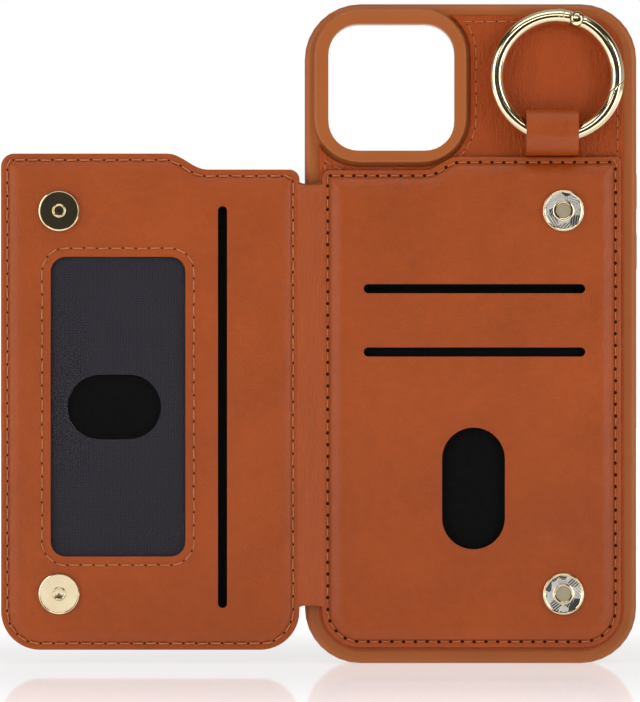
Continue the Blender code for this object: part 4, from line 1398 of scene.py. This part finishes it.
    def build_ring(self) -> None:
        """The fixed wire with its fork and collar, and the gate."""
        body = self.tube("ring_wire", self.stations(self.latch - 12, 360 + self.body_end))
        cut(body, [self.past_latch("latch_body_cut", -1)])
        soften(body, 0.12 * MM, 55.0)
        smooth(body, 50.0)
        dress(body, self.finishes.gold, Body.RING, Slot.GOLD, "ring_body")
        gate = self.tube("gate_wire", self.stations(self.gate_start, self.latch + 12))
        cut(gate, [self.past_latch("latch_gate_cut", 1)])
        soften(gate, 0.12 * MM, 55.0)
        smooth(gate, 50.0)
        dress(gate, self.finishes.gold, Body.GATE, Slot.GOLD, "ring_gate")
        for name, low, high in (("fork_near", -1.6 * MM, -0.75 * MM),
                                ("fork_far", 0.75 * MM, 1.6 * MM)):
            ear = self.cheek(name, self.body_end - 1.5, self.pin_angle - 2.2, low, high, 1.3 * MM)
            dress(ear, self.finishes.gold, Body.RING, Slot.GOLD)
        tongue = self.cheek("gate_tongue", self.pin_angle + 2.6, self.gate_start + 1.5, -0.48 * MM,
                            0.48 * MM, 1.15 * MM)
        dress(tongue, self.finishes.gold, Body.GATE, Slot.GOLD)
        self.build_collar()
        self.build_knuckle()
        paint("gate_spring", self.finishes.steel)

    def build_collar(self) -> None:
        """The turned collar with a groove, bent to the wire's curve."""
        half = 2.6
        rings = []
        profile = [(-1.0, 1.7), (-1.0, 1.95), (-0.85, 2.02), (-0.5, 2.02), (-0.4, 1.84),
                   (0.0, 1.84), (0.4, 1.84), (0.5, 2.02), (0.85, 2.02), (1.0, 1.95), (1.0, 1.7)]
        for side in range(self.sides + 1):
            angle = 2 * math.pi * (side % self.sides) / self.sides
            ring = []
            for along, radius in profile:
                offset = Vector((radius * math.cos(angle), radius * math.sin(angle), 0)) * MM
                ring.append(self.on_ring(self.collar_angle + half * along, offset))
            rings.append(ring)
        collar = loft("ring_sleeve", rings, joined=True)
        smooth(collar, 35.0)
        dress(collar, self.finishes.gold, Body.RING, Slot.GOLD, "ring_collar")

    def build_tab(self) -> None:
        """The folded leather tab, a loop round the wire on a doubled tail."""
        place, _ = self.swing()
        low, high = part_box("ring_tab")
        outer = self.tab_cavity + self.tab_leather

        def loop(radius: float, foot: Profile) -> list[Vector]:
            """Over the loop's top, down its front and along the points of its foot."""
            middle = Vector((place.y, place.z))
            top = Vector((place.y, place.z + self.tab_stretch))
            return [*arc(top, radius, 0, math.pi, 2 * ARC_STEPS),
                    *arc(middle, radius, math.pi, 1.12 * math.pi, 2 * ARC_STEPS),
                    *(Vector((place.y + level * MM, place.z + height * MM))
                      for level, height in foot)]

        back = high[1] - self.tab_leather
        foot_outer = ((-2.85, -3.05), (-1.95, -4.35), (-0.55, -5.15), (0.85, -5.4))
        foot_inner = ((-2.1, -2.75), (-1.35, -3.65), (-0.15, -4.3), (1.55, -4.5),
                      (back / MM - place.y / MM, -4.1))
        outside = [Vector((high[1], low[2])), *loop(outer, foot_outer)]
        inside = loop(self.tab_cavity, foot_inner)

        def block(name: str, outline: list[Vector], left: float, right: float) -> Piece:
            """A block of a side outline between two places along X."""
            rings = []
            for x in (left, right):
                rings.append([Vector((x, point.x, point.y)) for point in outline])
            return loft(name, rings)

        tab = block("leather_tab", outside, low[0], high[0])
        lead = 0.05 * MM
        mouth = [(self.tab_cavity - lead, -self.mouth_depth),
                 (self.tab_cavity + self.mouth_flare, lead), (self.tab_cavity - MM, lead),
                 (self.tab_cavity - MM, -self.mouth_depth)]
        sideways = Matrix.Rotation(-math.pi / 2, 3, "Z")
        cutter = turned("mouth_flare", mouth, Vector((low[0], place.y, place.z)), 40, sideways)
        cut(tab, [block("tab_hollow", inside, low[0] - MM, high[0] + MM), cutter])
        soften(tab, 0.18 * MM, 60.0, 3)
        smooth(tab, 40.0, weighted=True)
        dress(tab, self.finishes.leather, Body.CASE, Slot.LEATHER, "ring_tab")

    def build(self) -> None:
        """Model and dress the ring and its tab."""
        self.build_ring()
        self.build_tab()


# ---------------------------------------------------------------- shell

@dataclass
class PhoneShell:
    """The moulded shell with its camera surround, and its press buttons."""

    finishes: Finishes

    def build(self) -> None:
        """Model and dress the shell and buttons."""
        shell = fine_copy("shell", "moulded_shell", 0.25 * MM)
        dress(shell, self.finishes.tpu, Body.CASE, Slot.TPU, "shell")
        for body in (Body.VOLUME_UP, Body.VOLUME_DOWN, Body.SIDE):
            node = body.value + "_button"
            button = fine_copy(node, node + "_cap", 0.2 * MM)
            dress(button, self.finishes.tpu, body, Slot.TPU, node)


@dataclass
class Linings:
    """The dark linings and the clear film, which keep their CAD shapes."""

    finishes: Finishes

    def build(self) -> None:
        """Dress the linings and model the film."""
        for node in ("pocket_backing", "pocket_divider", "flap_lining"):
            paint(node, self.finishes.lining)
        film = fine_copy("id_window", "window_film", 0.03 * MM)
        dress(film, self.finishes.film, Body.FLAP, Slot.FILM, "id_window")


# ---------------------------------------------------------------- studio

@dataclass
class Studio:
    """Floor, backdrop, lights and camera."""

    view_height: float = 78.4 * MM
    view_span: float = 175.5 * MM
    distance: float = 0.9
    focus_level: float = -3.6 * MM
    sensor: float = 36.0

    def build(self) -> None:
        """Make the studio."""
        self.build_world()
        self.build_floor()
        self.build_lights()
        self.build_camera()

    def build_world(self) -> None:
        """White for the camera, and for gloss a room that is dark in front and bright beside."""
        world = bpy.data.worlds.new("studio")
        bpy.context.scene.world = world
        world.use_nodes = True
        tree = world.node_tree
        tree.nodes.clear()
        out = tree.nodes.new("ShaderNodeOutputWorld")
        mix = tree.nodes.new("ShaderNodeMixShader")
        path = tree.nodes.new("ShaderNodeLightPath")
        white = tree.nodes.new("ShaderNodeBackground")
        white.inputs["Color"].default_value = (1, 1, 1, 1)
        white.inputs["Strength"].default_value = 1.0
        room = tree.nodes.new("ShaderNodeBackground")
        axes = split_axes(tree, tree.nodes.new("ShaderNodeTexCoord").outputs["Generated"])
        side = math_node(tree, "ABSOLUTE", axes["X"])
        behind = math_node(tree, "MULTIPLY", axes["Y"], 2.5)
        edge = math_node(tree, "MAXIMUM", side, axes["Z"])
        bright = math_node(tree, "MAXIMUM", edge, behind)
        link(tree, ramp(tree, bright, 0.8, (0.07, 0.07, 0.06), 1.0, (0.95, 0.95, 0.95)),
             room.inputs["Color"])
        room.inputs["Strength"].default_value = 0.5
        link(tree, path.outputs["Is Camera Ray"], mix.inputs["Fac"])
        link(tree, room.outputs[0], mix.inputs[1])
        link(tree, white.outputs[0], mix.inputs[2])
        link(tree, mix.outputs[0], out.inputs["Surface"])

    def build_floor(self) -> None:
        """A pale, slightly glossy floor that glows as painted light, dimmer near the case and
        brighter further out.
        """
        deselect()
        bpy.ops.mesh.primitive_plane_add(size=3.2, location=(0, 1.15, 0))
        floor = bpy.context.object
        floor.name = "studio_floor"
        bpy.ops.object.transform_apply(location=True)
        material = bpy.data.materials.new("white_floor")
        material.use_nodes = True
        shader = material.node_tree.nodes["Principled BSDF"]
        shader.inputs["Base Color"].default_value = (0.52, 0.49, 0.49, 1)
        shader.inputs["Roughness"].default_value = 0.06
        shader.inputs["IOR"].default_value = 1.18
        shader.inputs["Emission Color"].default_value = (1, 1, 1, 1)
        tree = material.node_tree
        axes = split_axes(tree, object_place(tree))
        # painted light: the floor's emission, weaker near the case and stronger further from it
        floor_glow = tree.nodes.new("ShaderNodeMapRange")
        floor_glow.interpolation_type = "SMOOTHSTEP"
        for name, value in (("From Min", 0.02), ("From Max", 0.3), ("To Min", 0.5),
                            ("To Max", 1.1)):
            floor_glow.inputs[name].default_value = value
        side = math_node(tree, "MULTIPLY", math_node(tree, "ABSOLUTE", axes["X"]), 0.3)
        far = math_node(tree, "MAXIMUM", math_node(tree, "ABSOLUTE", axes["Y"]), side)
        link(tree, far, floor_glow.inputs["Value"])
        link(tree, floor_glow.outputs["Result"], shader.inputs["Emission Strength"])
        floor.data.materials.append(material)

    def light(self, name: str, place: Place, size: tuple[float, float], power: float) -> None:
        """A rectangular soft light aimed at the case's middle."""
        data = bpy.data.lights.new(name, "AREA")
        data.shape = "RECTANGLE"
        data.size, data.size_y = size
        data.energy = power
        lamp = bpy.data.objects.new(name, data)
        bpy.context.scene.collection.objects.link(lamp)
        lamp.location = place
        aim = Vector((0, 0, self.view_height)) - Vector(place)
        lamp.rotation_euler = aim.to_track_quat("-Z", "Y").to_euler()

    def build_lights(self) -> None:
        """Two tall side lights, a top light and a weak front fill."""
        self.light("left_light", (-0.72, -0.64, 0.3), (0.55, 0.8), 3.1)
        self.light("right_light", (0.74, -0.62, 0.26), (0.3, 0.8), 2.6)
        self.light("top_light", (0.0, -0.35, 0.9), (0.9, 0.4), 1.9)
        self.light("front_fill", (0.0, -1.5, 0.75), (0.9, 0.3), 2.5)

    def build_camera(self) -> None:
        """A level camera straight in front of the pocket side."""
        data = bpy.data.cameras.new("camera")
        data.sensor_width = self.sensor
        data.lens = self.sensor * self.distance / self.view_span
        data.clip_start = 0.01
        data.clip_end = 20.0
        camera = bpy.data.objects.new("camera", data)
        bpy.context.scene.collection.objects.link(camera)
        camera.location = (0.0, self.focus_level - self.distance, self.view_height)
        camera.rotation_euler = (math.pi / 2, 0, 0)
        bpy.context.scene.camera = camera
        bpy.context.scene.view_settings.view_transform = "Standard"


# ---------------------------------------------------------------- the whole case


def main() -> None:
    """Build the studio and every sub-assembly."""
    logging.basicConfig(level=logging.INFO, format="%(message)s")
    Studio().build()
    finishes = Finishes()
    PhoneShell(finishes).build()
    BackLeather(finishes).build()
    CardPocket(finishes).build()
    CardFlap(finishes).build()
    Spine(finishes).build()
    Linings(finishes).build()
    for level in ("upper", "lower"):
        Snap(finishes, f"pocket_snap_{level}", Body.CASE).build()
        Snap(finishes, f"flap_snap_{level}", Body.FLAP).build()
    KeyRing(finishes).build()
    deselect()


if __name__ == "__main__":
    main()
